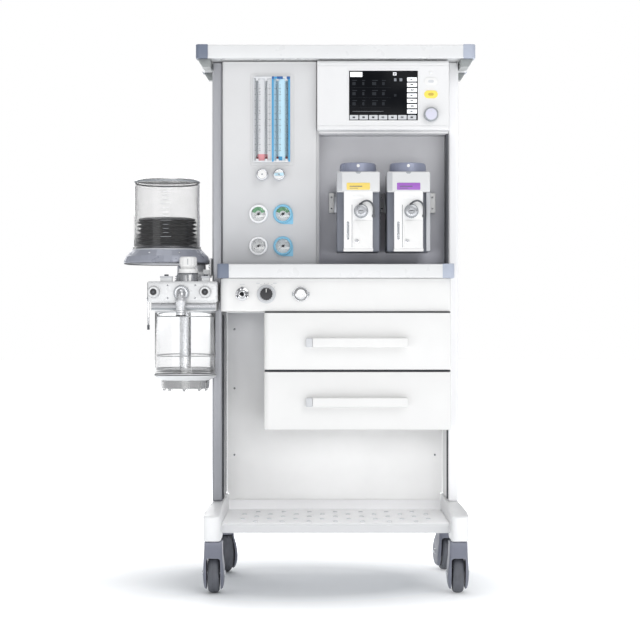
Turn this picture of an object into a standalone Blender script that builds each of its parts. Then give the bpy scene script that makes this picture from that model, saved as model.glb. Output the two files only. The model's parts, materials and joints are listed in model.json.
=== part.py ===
"""Anesthesia machine on a four-caster trolley, with drawers, flowmeters, two vaporizers and a bellows.

Metres, +Z up, the front faces -Y. The trolley's own frame has X = 0 midway between the posts and Y = 0 where
the front casters swivel. Its origin is moved so that the whole machine stands on Z = 0 with the origin at the
centre of its bounding box.
"""

from math import cos, pi, radians, sin, tau

import bmesh
import bpy
from mathutils import Vector

# Clearances
GAP = 0.0003
RUN_GAP = 0.001

# Trolley: legs, posts and casters
WHEEL_R = 0.050
WHEEL_W = 0.030
TREAD_HALF_W = 0.005
CASTER_X = 0.306
CASTER_TRAIL = 0.028
CASTER_H = 0.132
REAR_CASTER_Y = 0.500
REAR_LEFT_TURN = radians(-164)
REAR_RIGHT_TURN = radians(8)
FORK_W = 0.049
FORK_SLOT_W = 0.036
FORK_BASE_Z = 0.012
STEM_R = 0.0055
STEM_BORE_R = 0.0066
STEM_H = 0.020
PEDAL_W = 0.028
PEDAL_Y = 0.0345
PEDAL_Z = 0.1225
LEG_OUT = 0.331
LEG_IN = 0.287
LEG_TOP_Z = 0.216
LEG_FRONT_Y = -0.034
LEG_REAR_Y = 0.536
POST_IN = 0.292
POST_OUT = 0.318
POST_Y = (0.180, 0.450)
SHEET = 0.003

# Heights of the stack, from the tray on the legs to the tray on top
TRAY_Z = 0.174
LOWER_DRAWER_Z = (0.410, 0.554)
UPPER_DRAWER_Z = (0.560, 0.703)
CONTROL_Z = (0.7065, 0.7905)
WORKTOP_Z = (0.791, 0.826)
HOUSING_Z = (0.8265, 1.3495)
TOP_Z = (1.352, 1.387)

# Depths of the fronts and of the back
WORKTOP_FRONT_Y = 0.030
DRAWER_FRONT_Y = 0.040
CONTROL_FRONT_Y = 0.050
FASCIA_FRONT_Y = 0.120
PANEL_FRONT_Y = 0.150
HOUSING_FRONT_Y = 0.160
BACK_Y = 0.4385

# Widths
INNER_X = POST_IN - RUN_GAP
WORKTOP_X = 0.2975
TOP_TRAY_X = 0.3555
TOP_TRAY_Y = (0.100, 0.470)
GUSSET_W = 0.040
GUSSET_FOOT = (0.341, 1.336)
GUSSET_TOP_X = 0.352
DRAWER_X = (-0.181, 0.290)
SPLIT_X = -0.048
BAY_LEFT_X = -0.043
BAY_TOP_Z = 1.165
BAY_BACK_Y = 0.226

# Drawers
DRAWER_FRONT_T = 0.018
DRAWER_TUB_X = (-0.166, 0.275)
DRAWER_TUB_END_Y = 0.4205
HANDLE_X = (-0.075, 0.181)
HANDLE_T = 0.007
HANDLE_STANDOFF = 0.026

# Flow panel
FLOW_WINDOW_X = (-0.211, -0.116)
FLOW_WINDOW_Z = (1.090, 1.310)
FLOW_TUBE_X = (-0.201, -0.178, -0.149, -0.126)
FLOW_TUBE_W = 0.008
FLOAT_R = 0.003
FLOAT_REST_Z = 1.098
FLOW_KNOB_X = (-0.188, -0.1445)
FLOW_KNOB_Z = 1.058
FLOW_KNOB_R = 0.0147
GAUGE_X = (-0.198, -0.135)
GAUGE_Z = (0.9575, 0.875)
GAUGE_R = 0.0235
GAUGE_FACE_R = 0.0185
GAUGE_RIM = 0.010
NEEDLE_REST = radians(38)

# Monitor
SCREEN_X = (0.035, 0.210)
SCREEN_Z = (1.196, 1.322)
KEY_X = 0.244
ALARM_KEY_Z = 1.295
STANDBY_KEY_Z = 1.262
ENCODER_Z = 1.210
ENCODER_R = 0.0187

# Vaporizers
VAPORIZER_X = (0.057, 0.184)
VAPORIZER_W = 0.109
VAPORIZER_Z = (0.858, 1.060)
VAPORIZER_HEAD_Z = 1.008
VAPORIZER_Y = (0.060, 0.199)
VAPORIZER_COVER_W = 0.073
BAR_Z = (0.962, 1.015)
BAR_X = (-0.017, 0.260)
DIAL_R = 0.047
DIAL_Z = (1.063, 1.087)
DIAL_Y = 0.110
FILLER_X = 0.007
FILLER_Z = 0.960
FILLER_R = 0.0165

# Controls under the worktop
OUTLET_X = -0.236
SELECTOR_X = -0.175
FLUSH_X = -0.088
CONTROLS_Z = 0.7505
FLUSH_STEM_R = 0.005

# Breathing system
BLOCK_X = (-0.476, -0.2985)
BLOCK_Y = (0.060, 0.230)
BLOCK_Z = (0.730, 0.783)
HEAD_X = (-0.468, -0.302)
HEAD_Z = 0.7085
PORT_X = (-0.460, -0.330)
PORT_Z = 0.756
BAG_PORT_X = -0.390
CANISTER_X = -0.385
CANISTER_Y = 0.134
CANISTER_R = 0.0775
CANISTER_Z = (0.503, 0.7075)
CANISTER_TEETH = 8
LEVER_X = -0.4795
LEVER_Z = 0.738
BELLOWS_X = -0.438
BELLOWS_Y = 0.220
BELLOWS_BASE_R = 0.113
BELLOWS_BASE_Z = (0.832, 0.873)
DOME_R = 0.0857
DOME_TOP_Z = 1.050
DOME_WALL = 0.003
BELLOWS_R = 0.077
BELLOWS_Z = (0.880, 0.944)
BELLOWS_PLEATS = 6
APL_X = -0.375
APL_Y = 0.095
APL_R = 0.0225
APL_Z = (0.8155, 0.846)

# Where the trolley's frame lies, so that the origin is under the middle of the whole machine
LEFT_END_X = BELLOWS_X - BELLOWS_BASE_R
RIGHT_END_X = TOP_TRAY_X
FRONT_END_Y = LEG_FRONT_Y
REAR_REACH = (CASTER_TRAIL + WHEEL_R) * cos(REAR_RIGHT_TURN)
REAR_END_Y = REAR_CASTER_Y + REAR_REACH + TREAD_HALF_W * sin(REAR_RIGHT_TURN)
MACHINE_X = -(LEFT_END_X + RIGHT_END_X) / 2
MACHINE_Y = -(FRONT_END_Y + REAR_END_Y) / 2

# Rotations that turn a piece's own +Z, or its outline's plane
FACING_FRONT = (pi / 2, 0, 0)
FACING_RIGHT = (0, pi / 2, 0)
SIDE_VIEW = (pi / 2, 0, pi / 2)
UPRIGHT = (0, 0, 0)

WHITE = ((0.90, 0.90, 0.90), 0.35, 0.0)
PANEL_GREY = ((0.74, 0.75, 0.77), 0.45, 0.0)
COLUMN_GREY = ((0.50, 0.51, 0.54), 0.40, 0.3)
BLUE_GREY = ((0.22, 0.25, 0.33), 0.40, 0.0)
BAY_GREY = ((0.45, 0.46, 0.50), 0.45, 0.2)
BACK_GREY = ((0.42, 0.44, 0.48), 0.45, 0.2)
DARK = ((0.03, 0.03, 0.035), 0.40, 0.0)
TYRE = ((0.06, 0.065, 0.08), 0.70, 0.0)
BELLOWS_BLACK = ((0.05, 0.05, 0.06), 0.60, 0.0)
CHROME = ((0.80, 0.80, 0.80), 0.15, 1.0)
BLUE = ((0.05, 0.35, 0.62), 0.35, 0.0)
YELLOW = ((0.90, 0.62, 0.05), 0.40, 0.0)
CLEAR = ((0.85, 0.90, 0.92), 0.05, 0.0)
DIAL_BLUE = ((0.16, 0.18, 0.24), 0.30, 0.6)
CARD_GREY = ((0.62, 0.66, 0.66), 0.40, 0.0)
FLOAT_RED = ((0.25, 0.02, 0.02), 0.40, 0.0)


# ---------------------------------------------------------------- scene and materials


def clear_scene():
    for old in list(bpy.data.objects):
        bpy.data.objects.remove(old, do_unlink=True)


def add_collection(name):
    collection = bpy.data.collections.new(name)
    bpy.context.scene.collection.children.link(collection)
    return collection


clear_scene()
PARTS = add_collection("anesthesia_machine")
CUTTERS = add_collection("cutters")
MACHINE = bpy.data.objects.new("machine_origin", None)
MACHINE.location = (MACHINE_X, MACHINE_Y, 0)
PARTS.objects.link(MACHINE)


def finish_of(name, finish):
    colour, roughness, metallic = finish
    material = bpy.data.materials.new(name)
    material.use_nodes = True
    shader = material.node_tree.nodes["Principled BSDF"]
    shader.inputs["Base Color"].default_value = (*colour, 1)
    shader.inputs["Roughness"].default_value = roughness
    shader.inputs["Metallic"].default_value = metallic
    return material


def add_object(name, data, finish, location, rotation=UPRIGHT, parent=MACHINE):
    """Links one piece, or with no finish a helper that only cuts or joins."""
    piece = bpy.data.objects.new(name, data)
    piece.location = location
    piece.rotation_euler = rotation
    piece.parent = parent
    if finish is None:
        CUTTERS.objects.link(piece)
        piece.hide_render = True
        piece.display_type = "WIRE"
    else:
        PARTS.objects.link(piece)
        data.materials.append(finish_of(name, finish))
    return piece


# ---------------------------------------------------------------- shapes


def mesh_from(name, bm, smooth=False):
    mesh = bpy.data.meshes.new(name)
    bm.to_mesh(mesh)
    bm.free()
    if smooth:
        mesh.shade_smooth()
        mesh.set_sharp_from_angle(angle=radians(35))
    return mesh


def bevel(piece, width, segments=2):
    modifier = piece.modifiers.new("rounded_edges", "BEVEL")
    modifier.width = width
    modifier.segments = segments
    modifier.limit_method = "ANGLE"
    modifier.angle_limit = radians(40)
    modifier.use_clamp_overlap = True
    return piece


def box(
    name, low, high, finish=None, rounding=0.0, segments=2, origin=None, rotation=UPRIGHT, parent=MACHINE
):
    """A box from its low and high corners, with its origin at its centre unless one is given."""
    low, high = Vector(low), Vector(high)
    centre = (low + high) / 2
    origin = centre if origin is None else Vector(origin)
    bm = bmesh.new()
    bmesh.ops.create_cube(bm, size=1)
    bmesh.ops.scale(bm, vec=high - low, verts=bm.verts)
    bmesh.ops.translate(bm, vec=centre - origin, verts=bm.verts)
    piece = add_object(name, mesh_from(name, bm), finish, origin, rotation, parent)
    return bevel(piece, rounding, segments) if rounding else piece


def cylinder(
    name, centre, radius, depth, finish=None, rotation=UPRIGHT, segments=24, top_radius=None, parent=MACHINE
):
    """A cylinder or cone whose own +Z is turned by the rotation; the top radius is at its +Z end."""
    bm = bmesh.new()
    top = radius if top_radius is None else top_radius
    bmesh.ops.create_cone(bm, cap_ends=True, segments=segments, radius1=radius, radius2=top, depth=depth)
    return add_object(name, mesh_from(name, bm, smooth=True), finish, centre, rotation, parent)


def turned(name, profile, location, finish=None, rotation=UPRIGHT, steps=24, ring=False, parent=MACHINE):
    """Turns a (radius, height) profile about the piece's own Z. A solid starts and ends on the axis."""
    bm = bmesh.new()
    verts = [bm.verts.new((radius, 0, height)) for radius, height in profile]
    for first, second in zip(verts, verts[1:]):
        bm.edges.new((first, second))
    if ring:
        bm.edges.new((verts[-1], verts[0]))
    piece = add_object(name, mesh_from(name, bm), finish, location, rotation, parent)
    screw = piece.modifiers.new("turned", "SCREW")
    screw.steps = steps
    screw.render_steps = steps
    screw.use_merge_vertices = True
    screw.merge_threshold = 0.00001
    screw.use_smooth_shade = True
    return piece


def mesh_of_curve(name, curve, location, rotation, finish, parent):
    """Turns a curve object into a closed mesh object at the same place."""
    shaper = bpy.data.objects.new(name + "_curve", curve)
    PARTS.objects.link(shaper)
    graph = bpy.context.evaluated_depsgraph_get()
    mesh = bpy.data.meshes.new_from_object(shaper.evaluated_get(graph))
    bpy.data.objects.remove(shaper, do_unlink=True)
    bm = bmesh.new()
    bm.from_mesh(mesh)
    bmesh.ops.remove_doubles(bm, verts=bm.verts, dist=0.00001)
    bmesh.ops.recalc_face_normals(bm, faces=bm.faces)
    bpy.data.meshes.remove(mesh)
    return add_object(name, mesh_from(name, bm), finish, location, rotation, parent)


def plate(name, outline, thickness, location, rotation, finish=None, parent=MACHINE):
    """A flat outline in the piece's own XY plane, thickened evenly to both sides."""
    curve = bpy.data.curves.new(name, "CURVE")
    curve.dimensions = "2D"
    curve.fill_mode = "BOTH"
    curve.extrude = thickness / 2
    spline = curve.splines.new("POLY")
    spline.points.add(len(outline) - 1)
    for point, (x, y) in zip(spline.points, outline):
        point.co = (x, y, 0, 1)
    spline.use_cyclic_u = True
    return mesh_of_curve(name, curve, location, rotation, finish, parent)


def arc(centre, radius, start, end, steps):
    """Points on an arc, angles in degrees."""
    angles = [radians(start + (end - start) * step / steps) for step in range(steps + 1)]
    return [(centre[0] + radius * cos(a), centre[1] + radius * sin(a)) for a in angles]


def combine(piece, other, operation):
    modifier = piece.modifiers.new(operation.lower() + "_" + other.name, "BOOLEAN")
    modifier.operation = operation
    modifier.object = other
    return piece


def cut(piece, other):
    return combine(piece, other, "DIFFERENCE")


def join(piece, other):
    return combine(piece, other, "UNION")


# ---------------------------------------------------------------- trolley


def leg(name, side):
    """A cast leg, low at both casters and highest under the post, wider towards the front."""
    outline = [
        (LEG_FRONT_Y, CASTER_H + RUN_GAP),
        (0.075, CASTER_H + RUN_GAP),
        (0.105, 0.150),
        (0.395, 0.150),
        (0.425, CASTER_H + RUN_GAP),
        (LEG_REAR_Y, CASTER_H + RUN_GAP),
        (LEG_REAR_Y, 0.180),
        (LEG_REAR_Y - 0.012, 0.192),
        (0.455, LEG_TOP_Z),
        (POST_Y[0] - 0.008, LEG_TOP_Z),
        (LEG_FRONT_Y + 0.010, 0.196),
        (LEG_FRONT_Y, 0.188),
    ]
    width = LEG_OUT - LEG_IN
    middle = side * (LEG_OUT + LEG_IN) / 2
    body = plate(name, outline, width, (middle, 0, 0), SIDE_VIEW, WHITE)
    plan = [
        (LEG_IN, LEG_FRONT_Y - 0.01),
        (LEG_OUT, LEG_FRONT_Y - 0.01),
        (LEG_OUT, 0.03),
        (POST_OUT + 0.001, POST_Y[0] - 0.015),
        (POST_OUT + 0.001, POST_Y[1] + 0.010),
        (LEG_OUT, 0.500),
        (LEG_OUT, LEG_REAR_Y + 0.01),
        (LEG_IN, LEG_REAR_Y + 0.01),
    ]
    mirrored = [(side * x, y) for x, y in plan]
    footprint = plate(name + "_footprint", mirrored, 0.2, (0, 0, 0.18), UPRIGHT)
    combine(body, footprint, "INTERSECT")
    bevel(body, 0.004)
    for index, y in enumerate((0, REAR_CASTER_Y)):
        at = (side * CASTER_X, y, CASTER_H + STEM_H / 2)
        cut(body, cylinder(f"{name}_bore_{index}", at, STEM_BORE_R, STEM_H, segments=16))


def post(name, side, finish):
    """A tall hollow column, open at both ends, with two webs inside."""
    low_x, high_x = sorted((side * POST_IN, side * POST_OUT))
    low_z, high_z = LEG_TOP_Z + GAP, TOP_Z[0] - GAP
    column = box(name, (low_x, POST_Y[0], low_z), (high_x, POST_Y[1], high_z), finish, 0.004)
    depth = (POST_Y[1] - POST_Y[0] - 4 * SHEET) / 3
    for chamber in range(3):
        start = POST_Y[0] + SHEET + chamber * (depth + SHEET)
        low = (low_x + SHEET, start, low_z - 0.01)
        high = (high_x - SHEET, start + depth, high_z + 0.01)
        cut(column, box(f"{name}_chamber_{chamber}", low, high))
    return column


def base_tray():
    """A folded sheet between the legs, with a turned-down front lip and an upstand at the back."""
    z = TRAY_Z
    outline = [
        (0.023, 0.150),
        (0.023, z - 0.006),
        (0.026, z - 0.002),
        (0.030, z),
        (0.430, z),
        (0.430, 0.199),
        (0.433, 0.199),
        (0.433, z - SHEET),
        (0.031, z - SHEET),
        (0.028, z - 0.004),
        (0.026, z - 0.007),
        (0.026, 0.150),
    ]
    return plate("base_tray", outline, 2 * (LEG_IN - RUN_GAP), (0, 0, 0), SIDE_VIEW, WHITE)


def lower_back_panel():
    """A flat panel between the posts, narrower where it passes down between the legs."""
    wide, narrow = INNER_X, LEG_IN - RUN_GAP
    shoulder_z, top_z = LEG_TOP_Z + RUN_GAP, CONTROL_Z[0] - RUN_GAP
    half = [(narrow, 0.165), (narrow, shoulder_z), (wide, shoulder_z), (wide, top_z)]
    outline = half + [(-x, z) for x, z in reversed(half)]
    plate("lower_back_panel", outline, 0.004, (0, BACK_Y + 0.003, 0), FACING_FRONT, BACK_GREY)


def caster_outline():
    """Side outline of a hooded fork: a round shield over the wheel that reaches up to the stem's disc."""
    shield = arc((CASTER_TRAIL, WHEEL_R), 0.046, -58, 70, 6)
    return [
        (-0.0245, CASTER_H),
        (-0.0245, 0.085),
        (-0.018, 0.050),
        (-0.006, 0.022),
        (0.004, FORK_BASE_Z),
        *shield,
        (0.041, 0.112),
        (0.041, CASTER_H),
    ]


def caster(corner, x, y, turn, has_pedal):
    """A fork that swivels under its leg, with a wheel trailing behind and on the front pair a brake pedal."""
    swivel = bpy.data.objects.new(f"caster_{corner}_swivel", None)
    swivel.location = (x, y, 0)
    swivel.rotation_euler = (0, 0, turn)
    swivel.parent = MACHINE
    PARTS.objects.link(swivel)
    fork_name = f"caster_fork_{corner}"
    fork = plate(fork_name, caster_outline(), FORK_W, (0, 0, 0), SIDE_VIEW, BLUE_GREY, swivel)
    bevel(fork, 0.004, 1)
    slot_outline = [(-0.05, -0.02), (0.12, -0.02), (0.12, 0.09), (-0.05, 0.09)]
    slot = plate(fork_name + "_slot", slot_outline, FORK_SLOT_W, (0, 0, 0), SIDE_VIEW, None, swivel)
    cut(fork, slot)
    wheel_clearance = cylinder(fork_name + "_well", (0, CASTER_TRAIL, WHEEL_R), WHEEL_R + 0.004, FORK_SLOT_W,
                               None, FACING_RIGHT, 20, None, swivel)
    cut(fork, wheel_clearance)
    axle = cylinder(fork_name + "_axle", (0, CASTER_TRAIL, WHEEL_R), 0.006, FORK_W - 0.004,
                    None, FACING_RIGHT, 12, None, swivel)
    join(fork, axle)
    stem_at = (0, 0, CASTER_H + STEM_H / 2 - 0.002)
    join(fork, cylinder(fork_name + "_stem", stem_at, STEM_R, STEM_H, None, UPRIGHT, 16, None, swivel))
    if has_pedal:
        notch_half = PEDAL_W / 2 + RUN_GAP
        notch_low, notch_high = (-notch_half, 0.0265, 0.095), (notch_half, 0.06, 0.14)
        notch = box(fork_name + "_notch", notch_low, notch_high, parent=swivel)
        cut(fork, notch)
    half = WHEEL_W / 2
    profile = [
        (0.0063, half),
        (0.030, half),
        (0.034, half - 0.003),
        (0.041, half - 0.003),
        (WHEEL_R - 0.003, half - 0.004),
        (WHEEL_R, TREAD_HALF_W),
    ]
    mirrored = [(radius, -height) for radius, height in reversed(profile)]
    wheel_at = (0, CASTER_TRAIL, WHEEL_R)
    turned(f"caster_wheel_{corner}", profile + mirrored, wheel_at, TYRE, FACING_RIGHT, 24, True, swivel)
    if has_pedal:
        brake_pedal(corner, swivel)


def brake_pedal(corner, swivel):
    """A foot pedal behind the hood, hinged on a cross pin near the top."""
    outline = [
        (-0.006, -0.006),
        (0.012, -0.006),
        (0.034, -0.018),
        (0.036, -0.013),
        (0.014, 0.003),
        (0.004, 0.006),
        (-0.006, 0.006),
    ]
    at = (0, PEDAL_Y, PEDAL_Z)
    pedal = plate(f"brake_pedal_{corner}", outline, PEDAL_W, at, SIDE_VIEW, DARK, swivel)
    bevel(pedal, 0.001, 1)


def trolley():
    leg("left_leg", -1)
    leg("right_leg", 1)
    post("left_post", -1, COLUMN_GREY)
    post("right_post", 1, WHITE)
    base_tray()
    lower_back_panel()
    caster("front_left", -CASTER_X, 0, 0, True)
    caster("front_right", CASTER_X, 0, 0, True)
    caster("rear_left", -CASTER_X, REAR_CASTER_Y, REAR_LEFT_TURN, False)
    caster("rear_right", CASTER_X, REAR_CASTER_Y, REAR_RIGHT_TURN, False)


# ---------------------------------------------------------------- drawers


def drawer_cabinet():
    """An open-fronted case with one compartment for each drawer."""
    low = (DRAWER_X[0], DRAWER_FRONT_Y + DRAWER_FRONT_T + GAP, LOWER_DRAWER_Z[0] - SHEET)
    high = (INNER_X - 0.0005, BACK_Y, CONTROL_Z[0] - GAP)
    case = box("drawer_cabinet", low, high, WHITE)
    split = (LOWER_DRAWER_Z[1] + UPPER_DRAWER_Z[0]) / 2
    floors = (low[2] + SHEET, split + SHEET / 2)
    ceilings = (split - SHEET / 2, high[2] - SHEET)
    for index, (floor, ceiling) in enumerate(zip(floors, ceilings)):
        room = box(f"drawer_room_{index}", (low[0] + SHEET, low[1] - 0.01, floor),
                   (high[0] - SHEET, high[1] - SHEET, ceiling))
        cut(case, room)


def drawer(name, heights):
    """A front with a rounded left edge on an open-topped tub, and a bar handle on two feet."""
    low_z, high_z = heights
    tub_low = (DRAWER_TUB_X[0], DRAWER_FRONT_Y + 0.004, low_z + 0.010)
    tub_high = (DRAWER_TUB_X[1], DRAWER_TUB_END_Y, high_z - 0.018)
    tub = box(name, tub_low, tub_high, WHITE)
    front = box(f"{name}_front", (DRAWER_X[0], DRAWER_FRONT_Y, low_z),
                (DRAWER_X[1], DRAWER_FRONT_Y + DRAWER_FRONT_T, high_z), None, 0.004)
    join(tub, front)
    hollow_low = (tub_low[0] + 0.002, DRAWER_FRONT_Y + DRAWER_FRONT_T, tub_low[2] + 0.002)
    hollow_high = (tub_high[0] - 0.002, tub_high[1] - 0.002, high_z + 0.02)
    cut(tub, box(f"{name}_hollow", hollow_low, hollow_high))


def drawer_handle(name, low_z, high_z):
    """A flat bar that stands off the drawer front on two end blocks."""
    front_y = DRAWER_FRONT_Y - HANDLE_STANDOFF
    foot_end = DRAWER_FRONT_Y - GAP
    bar = box(name, (HANDLE_X[0], front_y, low_z), (HANDLE_X[1], front_y + HANDLE_T, high_z), WHITE, 0.002)
    for index, x in enumerate((HANDLE_X[0] + 0.003, HANDLE_X[1] - 0.013)):
        foot_low, foot_high = (x, front_y + 0.003, low_z + 0.003), (x + 0.010, foot_end, high_z - 0.003)
        foot = box(f"{name}_foot_{index}", foot_low, foot_high)
        join(bar, foot)


def drawers():
    drawer_cabinet()
    drawer("drawer_upper", UPPER_DRAWER_Z)
    drawer("drawer_lower", LOWER_DRAWER_Z)
    drawer_handle("drawer_upper_handle", 0.616, 0.640)
    drawer_handle("drawer_lower_handle", 0.466, 0.490)


# ---------------------------------------------------------------- worktop and controls


def control_panel():
    """An open-topped case under the worktop; its front carries the gas controls."""
    low = (-INNER_X, CONTROL_FRONT_Y, CONTROL_Z[0])
    high = (INNER_X, BACK_Y + 0.008, CONTROL_Z[1])
    case = box("control_panel", low, high, WHITE, 0.006)
    inside_low = (low[0] + SHEET, low[1] + 0.009, low[2] + SHEET)
    inside_high = (high[0] - SHEET, high[1] - SHEET, high[2] + 0.01)
    cut(case, box("control_room", inside_low, inside_high))
    bore_at = (FLUSH_X, low[1] + 0.002, CONTROLS_Z)
    cut(case, cylinder("flush_bore", bore_at, 0.0062, 0.020, None, FACING_FRONT, 16))


def worktop():
    """A writing surface with a raised front rail, notched round the posts and hollow from below."""
    wide, narrow = WORKTOP_X, INNER_X
    notch_y, back_y = POST_Y[0] - RUN_GAP, BACK_Y + 0.008
    outline = [
        (-wide + 0.010, WORKTOP_FRONT_Y),
        (wide - 0.010, WORKTOP_FRONT_Y),
        (wide - 0.003, WORKTOP_FRONT_Y + 0.003),
        (wide, WORKTOP_FRONT_Y + 0.010),
        (wide, notch_y),
        (narrow, notch_y),
        (narrow, back_y),
        (-narrow, back_y),
        (-narrow, notch_y),
        (-wide, notch_y),
        (-wide, WORKTOP_FRONT_Y + 0.010),
        (-wide + 0.003, WORKTOP_FRONT_Y + 0.003),
    ]
    thickness = WORKTOP_Z[1] - WORKTOP_Z[0]
    top = plate("worktop", outline, thickness, (0, 0, (WORKTOP_Z[0] + WORKTOP_Z[1]) / 2), UPRIGHT, WHITE)
    bevel(top, 0.004)
    recess_low = (-wide + 0.012, WORKTOP_FRONT_Y + 0.014, WORKTOP_Z[1] - 0.006)
    recess_high = (wide - 0.012, PANEL_FRONT_Y - 0.001, WORKTOP_Z[1] + 0.01)
    cut(top, box("worktop_recess", recess_low, recess_high))
    hollow_low = (-narrow + 0.010, 0.060, WORKTOP_Z[0] - 0.01)
    hollow_high = (narrow - 0.010, back_y - 0.010, WORKTOP_Z[1] - 0.010)
    cut(top, box("worktop_hollow", hollow_low, hollow_high))


def gas_outlet():
    """A chrome outlet nozzle on a flange, with a bored mouth."""
    profile = [
        (0.0055, 0.024),
        (0.0085, 0.024),
        (0.0095, 0.023),
        (0.0095, 0.012),
        (0.0125, 0.010),
        (0.0125, 0.005),
        (0.0165, 0.003),
        (0.0165, 0.0),
        (0.0055, 0.0),
    ]
    at = (OUTLET_X, CONTROL_FRONT_Y - GAP, CONTROLS_Z)
    turned("gas_outlet", profile, at, CHROME, FACING_FRONT, 16, True)


def selector_knob():
    """A black grip on a grey skirt, pointing straight up at rest."""
    profile = [(0, 0.006), (0.022, 0.006), (0.0235, 0.004), (0.0235, 0), (0, 0)]
    at = (SELECTOR_X, CONTROL_FRONT_Y - RUN_GAP, CONTROLS_Z)
    knob = turned("selector_knob", profile, at, DARK, FACING_FRONT, 24)
    grip = turned("selector_grip", [(0, 0.020), (0.0145, 0.020), (0.016, 0.018), (0.016, 0.003), (0, 0.003)],
                  at, None, FACING_FRONT, 24)
    join(knob, grip)


def flush_button():
    """A round push button on a stem that slides in the panel's front."""
    profile = [
        (0, 0.013),
        (0.0125, 0.013),
        (0.0145, 0.011),
        (0.0145, 0.0055),
        (FLUSH_STEM_R, 0.0055),
        (FLUSH_STEM_R, -0.004),
        (0, -0.004),
    ]
    at = (FLUSH_X, CONTROL_FRONT_Y, CONTROLS_Z)
    turned("flush_button", profile, at, CHROME, FACING_FRONT, 24)


def controls():
    control_panel()
    worktop()
    gas_outlet()
    selector_knob()
    flush_button()


# ---------------------------------------------------------------- upper housing, flow panel and monitor


def folded_box(name, low, high, finish=None):
    """A box of sheet metal that is open at the back."""
    case = box(name, low, high, finish)
    room_low = tuple(side + SHEET for side in low)
    cut(case, box(name + "_room", room_low, (high[0] - SHEET, high[1] + 0.01, high[2] - SHEET)))
    return case


def upper_housing():
    """The folded box behind the vaporizer bay, and the cover over the backs of all three upper boxes."""
    left, right = BAY_LEFT_X + GAP, INNER_X - 0.0005
    folded_box("upper_housing", (left, BAY_BACK_Y, HOUSING_Z[0]), (right, BACK_Y, BAY_TOP_Z - GAP), BAY_GREY)
    back_low = (0.0015 - INNER_X, BACK_Y + GAP, HOUSING_Z[0] + 0.002)
    back_high = (INNER_X - 0.0015, BACK_Y + 0.009, HOUSING_Z[1] - 0.002)
    box("rear_cover", back_low, back_high, PANEL_GREY, 0.002, 1)


def flow_panel():
    """The flowmeter and gauge fascia with four raised gauge rims, and the folded box behind it."""
    low = (-INNER_X + 0.0005, PANEL_FRONT_Y, HOUSING_Z[0] + 0.0015)
    high = (SPLIT_X - 0.001, HOUSING_FRONT_Y + 0.002, HOUSING_Z[1])
    panel = box("flow_panel", low, high, PANEL_GREY, 0.002, 1)
    case_low = (low[0] + 0.0005, HOUSING_FRONT_Y, HOUSING_Z[0])
    join(panel, folded_box("flow_case", case_low, (BAY_LEFT_X, BACK_Y, high[2] - 0.0005)))
    for row, z in enumerate(GAUGE_Z):
        for column, x in enumerate(GAUGE_X):
            depth = GAUGE_RIM + 0.003
            y = PANEL_FRONT_Y + 0.003 - depth / 2
            rim = cylinder(f"gauge_rim_{row}_{column}", (x, y, z), GAUGE_R, depth, None, FACING_FRONT, 20)
            cup_depth = GAUGE_RIM
            cup = cylinder(f"gauge_cup_{row}_{column}", (x, PANEL_FRONT_Y - 0.0005 - cup_depth / 2, z),
                           GAUGE_FACE_R, cup_depth, None, FACING_FRONT, 16)
            cut(rim, cup)
            join(panel, rim)


def gauge_needles():
    """Thin pointers that rest on the zero at their lower left, each on a hub in the middle of its gauge."""
    names = (("pipeline_oxygen", "pipeline_air"), ("cylinder_oxygen", "cylinder_air"))
    for row, z in enumerate(GAUGE_Z):
        for column, x in enumerate(GAUGE_X):
            outline = [
                (-0.0135, -0.0003),
                (-0.003, -0.0011),
                (0.003, -0.0013),
                (0.007, -0.0018),
                (0.007, 0.0018),
                (0.003, 0.0013),
                (-0.003, 0.0011),
                (-0.0135, 0.0003),
            ]
            turned_outline = [rotate_point(point, NEEDLE_REST) for point in outline]
            name = f"gauge_needle_{names[row][column]}"
            at = (x, PANEL_FRONT_Y - 0.005, z)
            needle = plate(name, turned_outline, 0.001, at, FACING_FRONT, DARK)
            hub_at = (x, PANEL_FRONT_Y - 0.0035, z)
            hub = cylinder(name + "_hub", hub_at, 0.0024, 0.005, None, FACING_FRONT, 12)
            join(needle, hub)


def rotate_point(point, angle):
    x, y = point
    return (x * cos(angle) - y * sin(angle), x * sin(angle) + y * cos(angle))


def flowmeters():
    """A tube block with four open channels, a float in each gas's channel and a knob under each gas."""
    low = (FLOW_WINDOW_X[0], PANEL_FRONT_Y - 0.014, FLOW_WINDOW_Z[0])
    high = (FLOW_WINDOW_X[1], PANEL_FRONT_Y - GAP, FLOW_WINDOW_Z[1])
    block = box("flow_tube_block", low, high, CARD_GREY, 0.002, 1)
    for index, x in enumerate(FLOW_TUBE_X):
        channel_low = (x - FLOW_TUBE_W / 2, low[1] - 0.01, FLOAT_REST_Z - 0.004)
        channel_high = (x + FLOW_TUBE_W / 2, high[1] - 0.003, FLOW_WINDOW_Z[1] - 0.008)
        cut(block, box(f"flow_channel_{index}", channel_low, channel_high))
    for gas, x in zip(("oxygen", "air"), (FLOW_TUBE_X[1], FLOW_TUBE_X[3])):
        profile = [(0, 0.004), (FLOAT_R, 0.003), (FLOAT_R, 0.001), (0.0012, -0.003), (0, -0.003)]
        at = (x, PANEL_FRONT_Y - 0.0085, FLOAT_REST_Z + 0.002)
        turned(f"flow_float_{gas}", profile, at, FLOAT_RED, UPRIGHT, 12)
    for gas, x, finish in zip(("oxygen", "air"), FLOW_KNOB_X, (WHITE, BLUE)):
        radius = FLOW_KNOB_R
        profile = [
            (0, 0.026),
            (radius - 0.003, 0.026),
            (radius - 0.001, 0.024),
            (radius, 0.012),
            (radius - 0.001, 0.008),
            (0.007, 0.007),
            (0.006, 0.0),
            (0, 0.0),
        ]
        at = (x, PANEL_FRONT_Y - GAP, FLOW_KNOB_Z)
        turned(f"flow_knob_{gas}", profile, at, finish, FACING_FRONT, 16)


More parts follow.
